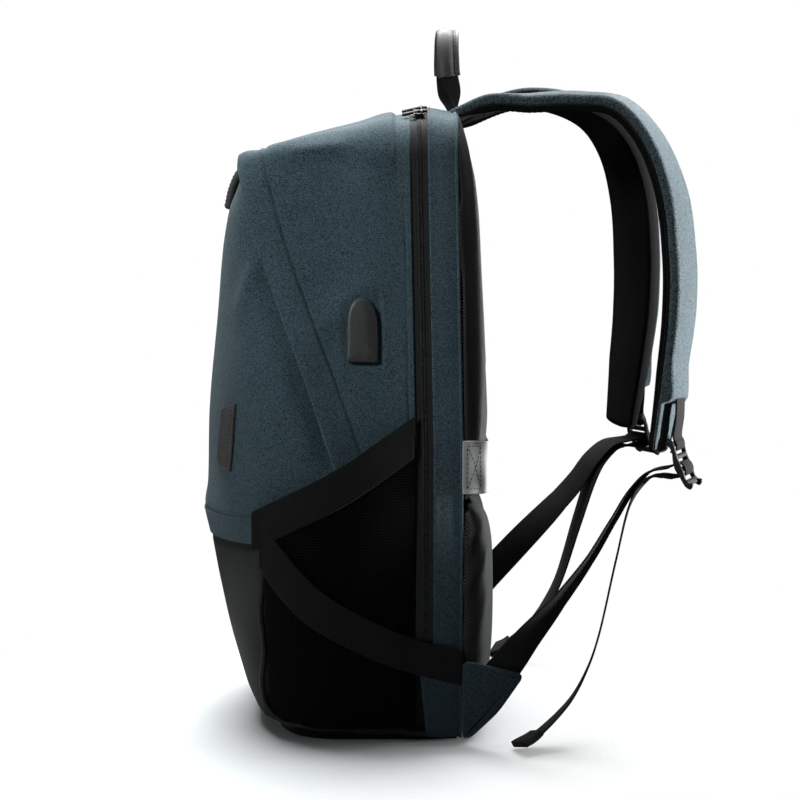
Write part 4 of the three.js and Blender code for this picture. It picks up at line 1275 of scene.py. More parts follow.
@dataclass
class Shell:
    """Cloth body of the bag: hood, front pocket, boot, zip and gusset."""

    form: Form
    cloth: float = 2.2
    coated: float = 2.6
    hem: float = 20.0
    low_back: float = 228.0
    low_front: float = 200.0
    edge_top: float = -108.5
    side_share: float = 0.56
    corner_share: float = 0.72
    pocket_low: float = 151.0
    pocket_seam: float = 171.0
    boot_top: float = 159.0
    boot_inset: float = 3.8
    boot_seam: float = -88.0
    hood_folds: tuple[Fold, ...] = (
        Fold((-47, 316), (-5, 351), 3.2, 11),
        Fold((-66, 447), (-26, 452), 1.8, 5),
        Fold((-30, 262), (10, 240), 2.6, 10),
        Fold((-74, 366), (-48, 300), 2.6, 10),
        Fold((-20, 430), (12, 380), 2.0, 11),
    )
    pocket_folds: tuple[Fold, ...] = (
        Fold((-90, 374), (-108, 326), 4.2, 6.5),
        Fold((-112, 300), (-122, 230), 0.9, 12),
        Fold((-66, 300), (-84, 250), 1.0, 10),
    )

    def build(self) -> None:
        """Makes every panel of the shell with its seams."""
        self.hood()
        self.front_pocket()
        self.boot()
        self.zip_band()
        self.gusset()

    def flare(self, distance: float) -> float:
        """How far the hood stands off near its free edge."""
        return 4.5 * (1 - smoothstep(distance, 0, 20))

    def hood_at(self, h: float, v: float) -> tuple[np.ndarray, float]:
        """Place on the right half of the hood.

        Args:
            h: share from its low end to the middle of the roof.
            v: share from the zip to the free edge.

        Returns:
            The place, and the length of cloth from the zip to the free edge there.
        """
        f = self.form
        top_y = lerp(f.hood_back - f.gap, self.edge_top, v)
        if h < self.side_share:
            share = h / self.side_share
            z = lerp(lerp(self.low_back, self.low_front, v), f.corner_start(top_y), share)
            edge = HOOD_EDGE.at("y", lerp(self.low_front, f.corner_start(self.edge_top), share))
            back = f.zip_y(z) - f.gap
            y = lerp(back, edge, v)
            return np.array([f.skin_x(y, z) + f.lift + self.flare((1 - v) * (back - edge)), y, z]), back - edge
        span = f.hood_back - self.edge_top
        if h < self.corner_share:
            share = (h - self.side_share) / (self.corner_share - self.side_share)
            place = f.arch_corner(share, top_y, f.lift)
            return place + np.array([self.flare((1 - v) * span) * (1 - share), 0, 0]), span
        share = (h - self.corner_share) / (1 - self.corner_share)
        edge = f.corner_x(top_y, f.lift)
        x = edge * (1 - share)
        front = f.visor + f.visor_sweep * (x / self.edge_top) ** 2
        y = lerp(top_y, lerp(f.hood_back - f.gap, front, v), share)
        return np.array([x, y, f.roof_height(x, y, f.lift, edge)]), f.hood_back - lerp(self.edge_top, front, share)

    def hood_relief(self, p: np.ndarray, to_edge: float, to_zip: float) -> float:
        """Height of hems, seams and folds on the hood.

        Args:
            p: place on the hood.
            to_edge: distance from its free edge.
            to_zip: distance from its zip edge.

        Returns:
            The height above the plain form.
        """
        height = 0.9 * (1 - smoothstep(to_edge, self.hem - 0.9, self.hem + 0.9)) - 1.3 * bell(to_edge - self.hem, 1.2)
        roof = smoothstep(p[2], 425, 446)
        height += (1 - roof) * (0.5 * (1 - smoothstep(to_zip, 3.2, 4.4)) - 0.8 * bell(to_zip - 4.0, 0.9))
        height += roof * 3.0 * smoothstep(to_zip, 10.2, 13) * (1 - smoothstep(to_zip, 17, 42))
        height -= roof * (2.6 * bell(to_edge - 16, 6) + 0.9 * smoothstep(to_edge, 16, 26) * smoothstep(to_zip, 36, 56))
        height += self.port_lip(p)
        height += 0.8 * ripple(p, 10.0, 5.0) * bell(to_edge - self.hem - 4, 7)
        calm = smoothstep(to_zip, 0, 30)
        height += calm * (1.1 * ripple(p, 85.0, 3.0) + 0.35 * ripple(p, 28.0, 8.0))
        return height + calm * sum(fold.at(p) for fold in self.hood_folds if abs(p[0]) > 90)

    def port_lip(self, p: np.ndarray) -> float:
        """Height of the puckered lip round the port cover at a place.

        Args:
            p: the place.

        Returns:
            The height.
        """
        f = self.form
        if p[0] < 90:
            return 0.0
        across, middle = abs(p[1] - f.port_y) - f.port_width / 2, (f.port_low + f.port_high) / 2
        off = max(across, abs(p[2] - middle) - (f.port_high - f.port_low) / 2)
        return 1.0 * bell(off - 5, 2.6) * (1 + 0.5 * ripple(p, 7.0, 1.0)) - 0.9 * bell(off - 0.5, 1.8)

    def hood(self) -> None:
        """Hood with its hem, free edge and zip edge."""
        shares = [*np.linspace(0, self.side_share, 44)[:-1], *np.linspace(self.side_share, self.corner_share, 15)[:-1]]
        shares += list(np.linspace(self.corner_share, 1, 26))
        rows = [*np.linspace(0, 0.14, 12), *np.linspace(0.14, 0.74, 26)[1:], *np.linspace(0.74, 1, 32)[1:]]
        spots = [[self.hood_at(h, v) for h in shares] for v in rows]
        plain = mirror_right(np.array([[s[0] for s in line] for line in spots]))
        span = np.array([s[1] for s in spots[0]])
        span = np.concatenate([span, span[-2::-1]])
        normals = grid_normals(plain)
        outer = plain.copy()
        for r, v in enumerate(rows):
            for c, length in enumerate(span):
                outer[r, c] += normals[r, c] * self.hood_relief(plain[r, c], (1 - v) * length, v * length)
        make(Draft().cloth(outer, plain - normals * self.cloth), "hood", WOVEN, Slot.WOVEN)
        seams = Draft()
        for line in (1 - (self.hem - 2.2) / span, 2.6 / span):
            seams.stitches(*trace(outer, [*zip(np.interp(line, rows, range(len(rows))), range(len(span)))]))
        make(seams, "hood_seams", TEAL_THREAD, Slot.WOVEN)

    def front_pocket(self) -> None:
        """Front panel with its hem and the fold under the hood."""
        f = self.form
        heights = [*np.linspace(self.pocket_low, 180, 24), *np.linspace(180, 410, 46)[1:]]
        heights += list(np.linspace(410, 443, 16)[1:])
        columns = 110
        lines = []
        for z in heights:
            side = POCKET_SIDE.at("y", z)
            angle = math.atan2(f.corner_y - side, f.skin_x(side, z))
            lines.append([f.skin_around(a, z) for a in np.linspace(math.pi - angle, angle, columns)])
        skin = np.array(lines)
        normals = grid_normals(skin)
        plain = skin - normals * np.array([POCKET_DUCK.at("inward", z) for z in heights])[:, None, None]
        outer = plain.copy()
        for r, z in enumerate(heights):
            for c in range(columns):
                p = plain[r, c]
                up = z - self.pocket_seam
                height = 0.7 * (1 - smoothstep(up, -0.9, 0.9)) - 1.0 * bell(up, 1.1)
                height += 0.7 * ripple(p, 16.0, 4.0) * bell(up - 3, 9) + 0.9 * ripple(p, 90.0, 1.0)
                height += sum(fold.at(p) for fold in self.pocket_folds if abs(p[0]) > 60)
                height -= 7.5 * (1 - smoothstep(HOOD_EDGE.at("y", z) - p[1], -2, 19)) * smoothstep(z, 196, 230)
                outer[r, c] += normals[r, c] * height * (1 - smoothstep(z, 405, 436))
        make(Draft().cloth(outer, outer - normals * self.cloth), "front_pocket", WOVEN, Slot.WOVEN)
        row = float(np.interp(self.pocket_seam - 2.4, heights, range(len(heights))))
        seam = Draft().stitches(*trace(outer, [(row, c) for c in range(columns)]))
        make(seam, "pocket_hem_seam", TEAL_THREAD, Slot.WOVEN)

    def boot_at(self, sign: int, place: float, z: float) -> np.ndarray:
        """Place on the boot at a height: by Y on the side of a sign, or by the angle round its front for 0."""
        f = self.form
        return np.array([sign * f.skin_x(place, z), place, z]) if sign else f.skin_around(place, z)

    def boot(self) -> None:
        """Boot with its base and the piping round its seams."""
        back = np.linspace(self.form.zip_front + 14, self.form.corner_y, 19)[:-1]
        columns = [(-1, y) for y in back] + [(0, a) for a in np.linspace(0, math.pi, 121)[::-1]]
        columns += [(1, y) for y in back[::-1]]
        shares = [*np.linspace(0, 0.1, 10), *np.linspace(0.1, 0.88, 34)[1:], *np.linspace(0.88, 1, 10)[1:]]
        tops = []
        for column in columns:
            y = self.boot_at(*column, self.boot_top)[1]
            tops.append(max(self.boot_top, UPPER_ELASTIC.at("z", y) - 3) if y > -93 else self.boot_top)
        skin = np.array([[self.boot_at(*column, s * top) for column, top in zip(columns, tops)] for s in shares])
        normals = grid_normals(skin)
        outer = skin.copy()
        for r in range(skin.shape[0]):
            for c in range(skin.shape[1]):
                p = skin[r, c]
                beside = smoothstep(p[1], self.boot_seam - 4, self.boot_seam + 2)
                tucked = smoothstep(p[2], self.pocket_low - 8, self.pocket_low - 1)
                down = self.boot_inset * (1 - (1 - beside) * (1 - tucked))
                loose = (1 - beside) * (1 - tucked) * smoothstep(p[2], 4, 22)
                height = loose * (0.9 * ripple(p, 55.0, 6.0) + 0.4 * ripple(p * (1, 1, 0.4), 20.0, 2.0))
                outer[r, c] += normals[r, c] * (height - down)
        inner = outer - normals * self.coated
        outer[0, :, 2] = inner[0, :, 2] = 0.0
        draft = Draft().cloth(outer, inner, 0.0)
        middle = (outer[0] + inner[0]) / 2
        edge = abs(outer[0, 0, 0]) - self.coated
        plate = np.concatenate([[(-edge, 57.0, 0)], middle, [(edge, 57.0, 0)]])
        make(draft.prism(plate, plate + (0, 0, 4.0)), "boot", COATED, Slot.COATED)
        self.piping()

    def piping(self) -> None:
        """Black piping down the boot's side seams and back along the foot of each side."""
        down = [(self.boot_seam - 3.3 + 1.2 * math.sin(z / 9), z) for z in np.linspace(150, 36, 44)]
        angles = np.linspace(0.1, 1.5, 14)
        turn = [(self.boot_seam - 3.5 + 22 * (1 - math.cos(a)), 34 - 22 * math.sin(a)) for a in angles]
        foot = [(y, np.interp(y, (-66, 30), (12, 7.5)) + 0.7 * math.sin(y / 6)) for y in np.linspace(-63, 36, 44)]
        path = np.array([self.form.side_point(y, z, 0.9) for y, z in down + turn + foot])
        draft = Draft().tube(path, 2.1, 10).tube(path * (-1, 1, 1), 2.1, 10)
        make(draft, "boot_piping", PIPING, Slot.COATED)

    def zip_at(self, v: float, z: float) -> float:
        """Y on the zip tape at a height, by the share from its back edge to its front."""
        return self.form.zip_y(z) + lerp(self.form.zip_width - self.form.gap, self.form.gap, v)

    def zip_band(self) -> None:
        """Zip tape with its closed coil."""
        f = self.form
        shares = np.linspace(0, 1, 7)
        rows = np.array([f.arch([f.zip_end], f.lift - 1.6, partial(self.zip_at, v), 60) for v in shares])
        normals = grid_normals(rows)
        make(Draft().cloth(rows, rows - normals * 1.6), "zip_tape", TAPE, Slot.WEBBING)
        along = lengths(rows[3])
        spots = np.arange(0, along[-1], 0.42)
        at, out = blend(rows[3], along, spots), unit(blend(normals[3], along, spots))
        side = unit(np.cross(out, np.gradient(at, axis=0)))
        turn = np.linspace(0, 2 * math.pi, 6, endpoint=False)
        coil = Draft()
        for sign in (-1, 1):
            swell = 0.65 + 0.35 * np.sin(spots * 2 * math.pi / 1.7 + (sign + 1) * math.pi / 2)
            rings = at[:, None] + side[:, None] * (sign * 1.0 + 1.05 * np.cos(turn))[None, :, None]
            rings = rings + out[:, None] * (swell[:, None] * (0.15 + 0.8 * np.sin(turn))[None, :])[:, :, None]
            coil.sweep(rings)
        make(coil, "zip_coil", COIL, Slot.WEBBING)
        seams = Draft()
        for row in (1.4, 4.6):
            seams.stitches(*trace(rows, [(row, c) for c in range(rows.shape[1])]), Thread(1.2, 0.7, 0.5))
        make(seams, "zip_seams", COIL, Slot.WEBBING)

    def gusset_at(self, v: float, z: float) -> float:
        """Y on the gusset, whose front edge steps forward below the zip's low end.

        Args:
            v: share from its back seam to its front edge.
            z: height.

        Returns:
            The Y there.
        """
        f = self.form
        beside = lerp(9.2, 2.2, z / 74) if z < 74 else lerp(2.2, f.zip_width, smoothstep(z, 74, 79))
        return lerp(f.seam_y(z), f.zip_y(z) + beside, v)

    def gusset(self) -> None:
        """Gusset behind the zip with piping in its back seam."""
        f = self.form
        lows = [4.4, *np.linspace(8, 74, 14), *np.linspace(74.6, 79, 8)]
        shares = np.linspace(0, 1, 13)
        plain = np.array([f.arch(lows, f.lift - 0.6, partial(self.gusset_at, v)) for v in shares])
        normals = grid_normals(plain)
        outer = plain.copy()
        for r, v in enumerate(shares):
            for c in range(plain.shape[1]):
                p = plain[r, c]
                puff = 0.9 * math.sin(math.pi * v) + 0.5 * ripple(p, 34.0, 2.0) * math.sin(math.pi * v)
                rise = 2.4 * smoothstep(p[2], 450, 474) * smoothstep(v, 0.2, 1)
                turned = 3.2 * (1 - v) * smoothstep(p[2], 20, 70)
                outer[r, c] += normals[r, c] * (puff + rise - turned + 0.5 * smoothstep(v, 0.82, 0.86))
        make(Draft().cloth(outer, outer - normals * self.cloth), "gusset", WOVEN, Slot.WOVEN)
        places = [(len(shares) - 2.0, c) for c in range(len(lows), plain.shape[1] - len(lows))]
        make(Draft().stitches(*trace(outer, places)), "gusset_seam", TEAL_THREAD, Slot.WOVEN)
        make(Draft().tube(outer[0] + (0, -0.2, 0), 1.3), "gusset_piping", WOVEN, Slot.WOVEN)


@dataclass
class Inflater:
    """Short cloth simulation that puffs a closed pad."""

    voxel: float = 4.8
    pressure: float = 4.0
    frames: int = 20
    cap: float = 5.0

    def bake(self, obj: bpy.types.Object) -> None:
        """Makes what an object's modifiers give its own mesh.

        Args:
            obj: the object.
        """
        graph = bpy.context.evaluated_depsgraph_get()
        mesh = bpy.data.meshes.new_from_object(obj.evaluated_get(graph))
        obj.modifiers.clear()
        obj.data = mesh
        mesh.name = obj.name

    def places(self, mesh: bpy.types.Mesh) -> np.ndarray:
        """Places of a mesh's vertices.

        Args:
            mesh: the mesh.

        Returns:
            One row for each vertex.
        """
        flat = np.zeros(len(mesh.vertices) * 3)
        mesh.vertices.foreach_get("co", flat)
        return flat.reshape(-1, 3)

    def puff(self, obj: bpy.types.Object, sewn: Callable[[np.ndarray], np.ndarray]) -> None:
        """Puffs an object.

        Args:
            obj: the pad, a little slimmer than it should be.
            sewn: tells which places, in millimetres, are sewn down.
        """
        remesh = obj.modifiers.new("even", "REMESH")
        remesh.mode, remesh.voxel_size = "VOXEL", self.voxel * MM
        self.bake(obj)
        start = self.places(obj.data)
        group = obj.vertex_groups.new(name="sewn")
        group.add(np.flatnonzero(sewn(start / MM)).tolist(), 1.0, "REPLACE")
        cloth = obj.modifiers.new("puff", "CLOTH")
        cloth.settings.quality = 4
        cloth.settings.mass = 0.3
        cloth.settings.tension_stiffness = cloth.settings.compression_stiffness = 12
        cloth.settings.bending_stiffness = 0.6
        cloth.settings.use_pressure = True
        cloth.settings.uniform_pressure_force = self.pressure
        cloth.settings.vertex_group_mass = group.name
        cloth.settings.effector_weights.gravity = 0.0
        cloth.point_cache.frame_end = self.frames
        scene = bpy.context.scene
        for number in range(1, self.frames + 1):
            scene.frame_set(number)
        graph = bpy.context.evaluated_depsgraph_get()
        moved = self.places(obj.evaluated_get(graph).data) - start
        size = np.linalg.norm(moved, axis=1, keepdims=True)
        LOG.info("%s: puffed by up to %.1f mm", obj.name, size.max() / MM)
        start += moved * np.minimum(1.0, self.cap * MM / np.maximum(size, 1e-9))
        obj.modifiers.clear()
        scene.frame_set(1)
        obj.data.vertices.foreach_set("co", start.ravel())
        obj.data.update()
        obj.modifiers.new("smooth", "SUBSURF").levels = 1
        self.bake(obj)
        obj.data.shade_smooth()


@dataclass
class BackPanel:
    """Padded back with the luggage band across it."""

    form: Form
    inflater: Inflater = field(default_factory=Inflater)
    rim: float = 2.4
    thick: float = 10.0
    slim: float = 1.6
    channel: float = 5.5
    channel_half: float = 34.0
    folds: tuple[Fold, ...] = (
        Fold((60, 116), (84, 154), 2.2, 5), Fold((60, 76), (86, 122), 1.7, 6), Fold((60, 152), (80, 174), 1.4, 4.5),
        Fold((60, 40), (86, 78), 1.1, 6),
    )

    def build(self) -> None:
        """Makes both pads and the band."""
        self.cushion("back_pad", BACK_PAD, self.back_top)
        self.cushion("lumbar_pad", LUMBAR_PAD, self.lumbar_top)
        self.band()

    def pad_half(self, z: float) -> float:
        """Half width of the pads at a height."""
        return self.form.half(z) + 0.5

    def crown(self, share: float) -> float:
        """How full a pad is at a share of its half width."""
        return (1 - min(abs(share), 1.0) ** 3.4) ** 0.5

    def back_top(self, share: float) -> float:
        """Top of the back pad at a share of its half width.

        Args:
            share: the share.

        Returns:
            The height.
        """
        f = self.form
        y, x = f.seam_y(f.lean_to), abs(share) * self.pad_half(f.lean_to)
        if x <= f.corner_x(y, 0.5):
            return f.roof_height(x, y, 0.5)
        round_ = f.corner_round(y, 0.5)
        across = clamp((x - f.corner_side(y, 0.5) + round_) / round_)
        return f.corner_start(y) + round_ * math.sqrt(1 - across * across)

    def lumbar_top(self, share: float) -> float:
        """Top of the lumbar pad, level over its whole width."""
        return LUMBAR_PAD.keys[-1]

    def sewn(self, places: np.ndarray) -> np.ndarray:
        """Which places, in millimetres, lie close enough to the back seam to be sewn down."""
        return places[:, 1] < np.array([self.form.seam_y(z) for z in places[:, 2]]) + 2.2

    def pad_at(self, table: Table, top: Callable[[float], float], share: float, v: float, depth: float) -> np.ndarray:
        """Place on a pad behind the seam.

        Args:
            table: how far it stands out, by height.
            top: height of its upper edge at a share of its half width.
            share: share of its half width.
            v: share of its height.
            depth: distance in from its outer face.

        Returns:
            The place.
        """
        low, high = table.keys[0], table.keys[-1]
        z = lerp(low, top(share), v)
        x = share * self.pad_half(z)
        channel = self.channel * math.exp(-((x / self.channel_half) ** 4))
        rise = max(table.at("rise", lerp(low, high, v)) - channel - self.slim, 0.0) * self.crown(share)
        seat = self.form.seam_y(z) + self.form.gap
        y = seat + self.rim + rise
        return np.array([x, y if depth == 0 else max(seat, y - depth), z])

    def cushion(self, name: str, table: Table, top: Callable[[float], float]) -> None:
        """One pad, puffed behind the seam.

        Args:
            name: its name, which is its frame node's too.
            table: how far it stands out, by height.
            top: height of its upper edge at a share of its half width.
        """
        shares = np.sin(math.pi * (np.linspace(0, 1, 73) - 0.5))
        ups = 0.5 - 0.5 * np.cos(math.pi * np.linspace(0, 1, 49))
        place = partial(self.pad_at, table, top)
        faces = [np.array([[place(s, v, depth) for s in shares] for v in ups]) for depth in (0.0, self.thick)]
        pad = make(Draft().cloth(*faces, 0.15), name, AIR_MESH, Slot.MESH)
        self.inflater.puff(pad, self.sewn)
        if name == "lumbar_pad":
            self.crease(pad)

    def crease(self, pad: bpy.types.Object) -> None:
        """Raises the diagonal folds at both sides of a pad.

        Args:
            pad: the pad.
        """
        for vertex in pad.data.vertices:
            p = np.array(vertex.co) / MM
            if abs(p[0]) > 84:
                height = sum(fold.at(p) for fold in self.folds) - 0.4
                vertex.co += vertex.normal * height * smoothstep(abs(p[0]), 84, 110) * MM
        pad.data.update()

    def band(self) -> None:
        """Grey band over both pads with a crossed box of stitches at each end."""
        f = self.form
        places = []
        for share in np.sin(math.pi * (np.linspace(0, 1, 91) - 0.5)):
            middle = lerp(203, 212, share**2)
            y = f.seam_y(middle) + f.gap + self.rim + 0.9 + 19.5 * self.crown(share)
            places.append((share * self.pad_half(middle), y, middle))
        ends = [(sign * (self.pad_half(212) + 0.7), f.seam_y(212) + f.gap, 212.0) for sign in (-1, 1)]
        places = [ends[0], *places, ends[1]]
        ups = np.linspace(-19.5, 19.5, 15)
        grid = np.array([[(x, y, z + up) for x, y, z in places] for up in ups])
        out = -grid_normals(grid)
        outer = grid + out * 1.6
        make(Draft().cloth(outer, grid), "luggage_band", GREY, Slot.BAND)
        along = lengths(outer[7])
        seams = Draft()
        box = [(3.0, -16.0), (3.0, 16.0), (18.0, 16.0), (18.0, -16.0), (3.0, -16.0), (18.0, 16.0)]
        for start, sign in ((0.0, 1), (along[-1], -1)):
            for line in (box, [(18.0, -16.0), (3.0, 16.0)]):
                for (d0, u0), (d1, u1) in zip(line, line[1:]):
                    spots = [(start + sign * lerp(d0, d1, t), lerp(u0, u1, t)) for t in np.linspace(0, 1, 12)]
                    run = [(np.interp(up, ups, range(15)), np.interp(d, along, range(len(along)))) for d, up in spots]
                    path, normals = trace(outer, run)
                    seams.stitches(path, -normals, Thread(2.6, 0.9, 0.7))
        make(seams, "band_seams", BLACK_THREAD, Slot.BAND)


@dataclass
class SidePocket:
    """Side pocket of netting with an elastic along its mouth and one over its foot."""

    form: Form
    side: Side
    seam: float = -88.0
    low: float = 11.5
    full: float = 13.0
    net: float = 1.2
    elastic: float = 1.8
    elastic_width: float = 25.0
    lay: float = 0.9

    def build(self) -> None:
        """Makes the netting and both elastics."""
        word = self.side.word
        ups, alongs = np.linspace(0, 1, 60), np.linspace(0, 1, 70)
        faces = [np.array([[self.net_at(a, u, d) for a in alongs] for u in ups]) for d in (0.0, self.net)]
        make(Draft().cloth(*faces).on(self.side), f"pocket_mesh_{word}", NET, Slot.MESH)
        seams = Draft()
        for name, table, stand in (
            ("upper_elastic", UPPER_ELASTIC, self.upper_stand),
            ("lower_elastic", LOWER_ELASTIC, self.lower_stand),
        ):
            face, floor = self.band(table, stand)
            make(Draft().cloth(face, floor).on(self.side), f"{name}_{word}", ELASTIC, Slot.WEBBING)
            rows, columns = face.shape[0] - 1, face.shape[1] - 1
            for row in (rows * 0.09, rows * 0.91):
                seams.stitches(*trace(face, [(row, c) for c in range(columns + 1)]), Thread(2.4, 1.0, 0.5))
            for column in (1.2, columns - 1.2):
                places = [(r, column) for r in np.linspace(0.6, rows - 0.6, 9)]
                seams.stitches(*trace(face, places), Thread(2.0, 0.7, 0.6))
        make(seams.on(self.side), f"elastic_seams_{word}", BLACK_THREAD, Slot.WEBBING)

    def share(self, y: float) -> float:
        """Share of the way along the pocket at a place."""
        return (y - self.seam) / (self.form.zip_front - self.form.gap - self.seam)

    def up(self, y: float, z: float) -> float:
        """Share of the way up the pocket at a place."""
        return (z - self.low) / (UPPER_ELASTIC.at("z", y) - self.low)

    def stand(self, along: float, up: float) -> float:
        """How far the pocket stands off the skin at shares along and up.

        Args:
            along: share along the pocket.
            up: share up it.

        Returns:
            The distance.
        """
        seat = lerp(self.net + self.lay + 1 - 3.8, self.form.lift + self.form.gap + self.net, smoothstep(up, 0, 1))
        full = self.full * math.sin(math.pi * clamp(along)) ** 0.8
        return seat + full * lerp(0.1, 1, math.sin(math.pi * lerp(0.08, 0.7, up)))

    def upper_stand(self, y: float, z: float) -> float:
        """How far the upper elastic stands off the skin."""
        return self.stand(self.share(y), min(self.up(y, z), 1.0)) + self.lay

    def lower_stand(self, y: float, z: float) -> float:
        """How far the lower elastic stands off the skin."""
        on_net = self.stand(self.share(y), clamp(self.up(y, z))) + self.lay
        return max(on_net, self.form.lift * smoothstep(y, -14.6, 9.4))

    def net_at(self, along: float, up: float, inward: float) -> np.ndarray:
        """Place on the netting at shares along and up.

        Args:
            along: share along the pocket.
            up: share up it.
            inward: distance in from its face.

        Returns:
            The place.
        """
        y = lerp(self.seam, self.form.zip_front - self.form.gap, along)
        z = lerp(self.low, UPPER_ELASTIC.at("z", y), up)
        plain = self.form.side_point(y, z, self.stand(along, up) - inward)
        slack = math.sin(math.pi * clamp(along)) * math.sin(math.pi * clamp(up))
        return plain - np.array([slack * (0.6 + 0.7 * ripple(plain, 46.0, 3.0)), 0, 0])

    def band(self, table: Table, stand: Callable[[float, float], float]) -> tuple[np.ndarray, np.ndarray]:
        """Elastic along a table of heights.

        Args:
            table: height of its middle line by Y.
            stand: how far it stands off the skin at a Y and Z.

        Returns:
            Its outer and inner faces.
        """
        ends = table.data["y"][0], table.data["y"][-1]
        faces = []
        for out in (self.elastic, 0.0):
            lines = []
            for across in np.linspace(-0.5, 0.5, 13):
                line = []
                for y in np.linspace(*ends, 90):
                    before, after = max(y - 1, ends[0]), min(y + 1, ends[1])
                    climb = math.atan2(table.at("z", after) - table.at("z", before), after - before)
                    free = smoothstep(min(y - ends[0], ends[1] - y), 0, 16)
                    y0 = y - across * self.elastic_width * math.sin(climb) * free
                    tall = lerp(1 / math.cos(climb), math.cos(climb), free)
                    z0 = table.at("z", y) + across * self.elastic_width * tall
                    line.append(self.form.side_point(y0, z0, stand(y0, z0) + out))
                lines.append(line)
            faces.append(np.array(lines))
        return faces[0], faces[1]


@dataclass
class ShoulderStrap:
    """Shoulder strap: padded cloth outside, mesh lining inside."""

    side: Side
    rows: Sequence[Bend]
    low: float = -1.6
    high: float = 6.5
    lining_low: float = -6.5
    lining_high: float = -2.8
    cover_end: float = 260.0
    count: int = 170

    def build(self) -> None:
        """Makes the outer pad, the lining, the binding between them and their seams."""
        word = self.side.word
        stations = Route(self.rows).stations(self.count)
        outer, lining = [], []
        for i, s in enumerate(stations):
            half, t = s.width / 2, s.thick
            high = self.cover(s, i / (self.count - 1))
            section = rounded_box(half, self.low * t, high, 3.2 * t, 6)
            section[:, 1] += np.where(section[:, 1] > 0, 0.9 * t * (1 - (section[:, 0] / half) ** 2), 0.0)
            section[:, 1] += np.where(section[:, 1] > 0, 0.35 * ripple(s.at, 30.0, 4.0), 0.0)
            outer.append(s.place(section))
            root = smoothstep(i / (self.count - 1), 0.015, 0.085)
            low = lerp(self.lining_high - 0.6, self.lining_low, root) * t
            section = rounded_box(half - 0.8, low, self.lining_high * t, 2.4 * t, 5)
            swell = 0.9 * root * (1 - (section[:, 0] / half) ** 4)
            section[:, 1] -= np.where(section[:, 1] < self.lining_high * t - 1, swell, 0.0)
            lining.append(s.place(section))
        for name, rings, dome, finish, slot in (
            ("strap_pad", outer, 4.0, STRAP_CLOTH, Slot.WOVEN),
            ("strap_lining", lining, 4.5, LINING, Slot.MESH),
        ):
            pad = make(Draft().sweep(domed(np.array(rings), 0, dome)), f"{name}_{word}", finish, slot)
        self.edges(stations)

    def cover(self, s: Station, share: float) -> float:
        """Height of the outer face: it lifts over the tape of the lock, then ends.

        Args:
            s: place along the strap.
            share: share of the way along it.

        Returns:
            The height.
        """
        plain = self.high * s.thick
        if share < 0.5:
            return plain
        lifted = lerp(plain, 9.4, smoothstep(self.cover_end + 34 - s.at[2], 0, 30))
        return lerp(1.6, lifted, smoothstep(s.at[2], self.cover_end - 1.5, self.cover_end + 1.5))

    def edges(self, stations: list[Station]) -> None:
        """Binding along both edges and rows of stitches on the lining.

        Args:
            stations: places along the strap.
        """
        word = self.side.word
        binding, seams = Draft(), Draft()
        for sign in (-1, 1):
            if sign == -self.side.value:
                tape = [rounded_box(0.7, self.lining_low * 0.8 * s.thick, 4.2 * s.thick, 0.6, 3) for s in stations]
                shift = [np.array([sign * (s.width / 2 + 0.1), 0.0]) for s in stations]
                binding.sweep(np.array([s.place(o + d) for s, o, d in zip(stations, tape, shift)]))
            else:
                edge = np.array([s.spot(sign * (s.width / 2 - 1.0), -2.2 * s.thick) for s in stations])
                binding.tube(edge, 1.0, 6)
            inner, under = stations[14:], self.lining_low - 0.25
            row = np.array([s.spot(sign * (s.width / 2 - 5.5), under * s.thick) for s in inner])
            seams.stitches(row, np.array([-s.out for s in inner]), Thread(3.0, 1.4, 0.6))
        make(binding, f"strap_binding_{word}", BLACK_BINDING, Slot.WOVEN)
        make(seams, f"strap_seams_{word}", BLACK_THREAD, Slot.MESH)


@dataclass(frozen=True)
class LockPlace:
    """Where the right ladder lock sits and how it is turned."""

    at: tuple[float, float, float] = (115.5, 228.5, 213.0)
    yaw: float = 23.0
    tilt: float = 0.35
    pitch: float = 10.0
    clear: float = 3.2

    @property
    def across(self) -> np.ndarray:
        """Direction across the lock."""
        return np.array([math.cos(math.radians(self.yaw)), -math.sin(math.radians(self.yaw)), 0.0])

    @property
    def down(self) -> np.ndarray:
        """Direction down its plate."""
        turn = math.radians(self.yaw)
        return np.array([self.tilt * math.sin(turn), self.tilt * math.cos(turn), -math.sqrt(1 - self.tilt**2)])

    @property
    def out(self) -> np.ndarray:
        """Direction out of its face."""
        return np.cross(self.across, self.down)

    def point(self, across: float, down: float, out: float) -> np.ndarray:
        """Place on the lock."""
        return np.array(self.at) + self.across * across + self.down * down + self.out * out

    def bend(self, down: float, out: float) -> Bend:
        """Row of a route that passes the lock."""
        x, y, z = self.point(0, down, out)
        return Bend(x, y, z, -self.yaw)

    def slot(self, i: int) -> float:
        """Place of a slot down the plate."""
        return (i - 1) * self.pitch

    def bar(self, i: int) -> float:
        """Place of a bar down the plate."""
        return (i - 1.5) * self.pitch


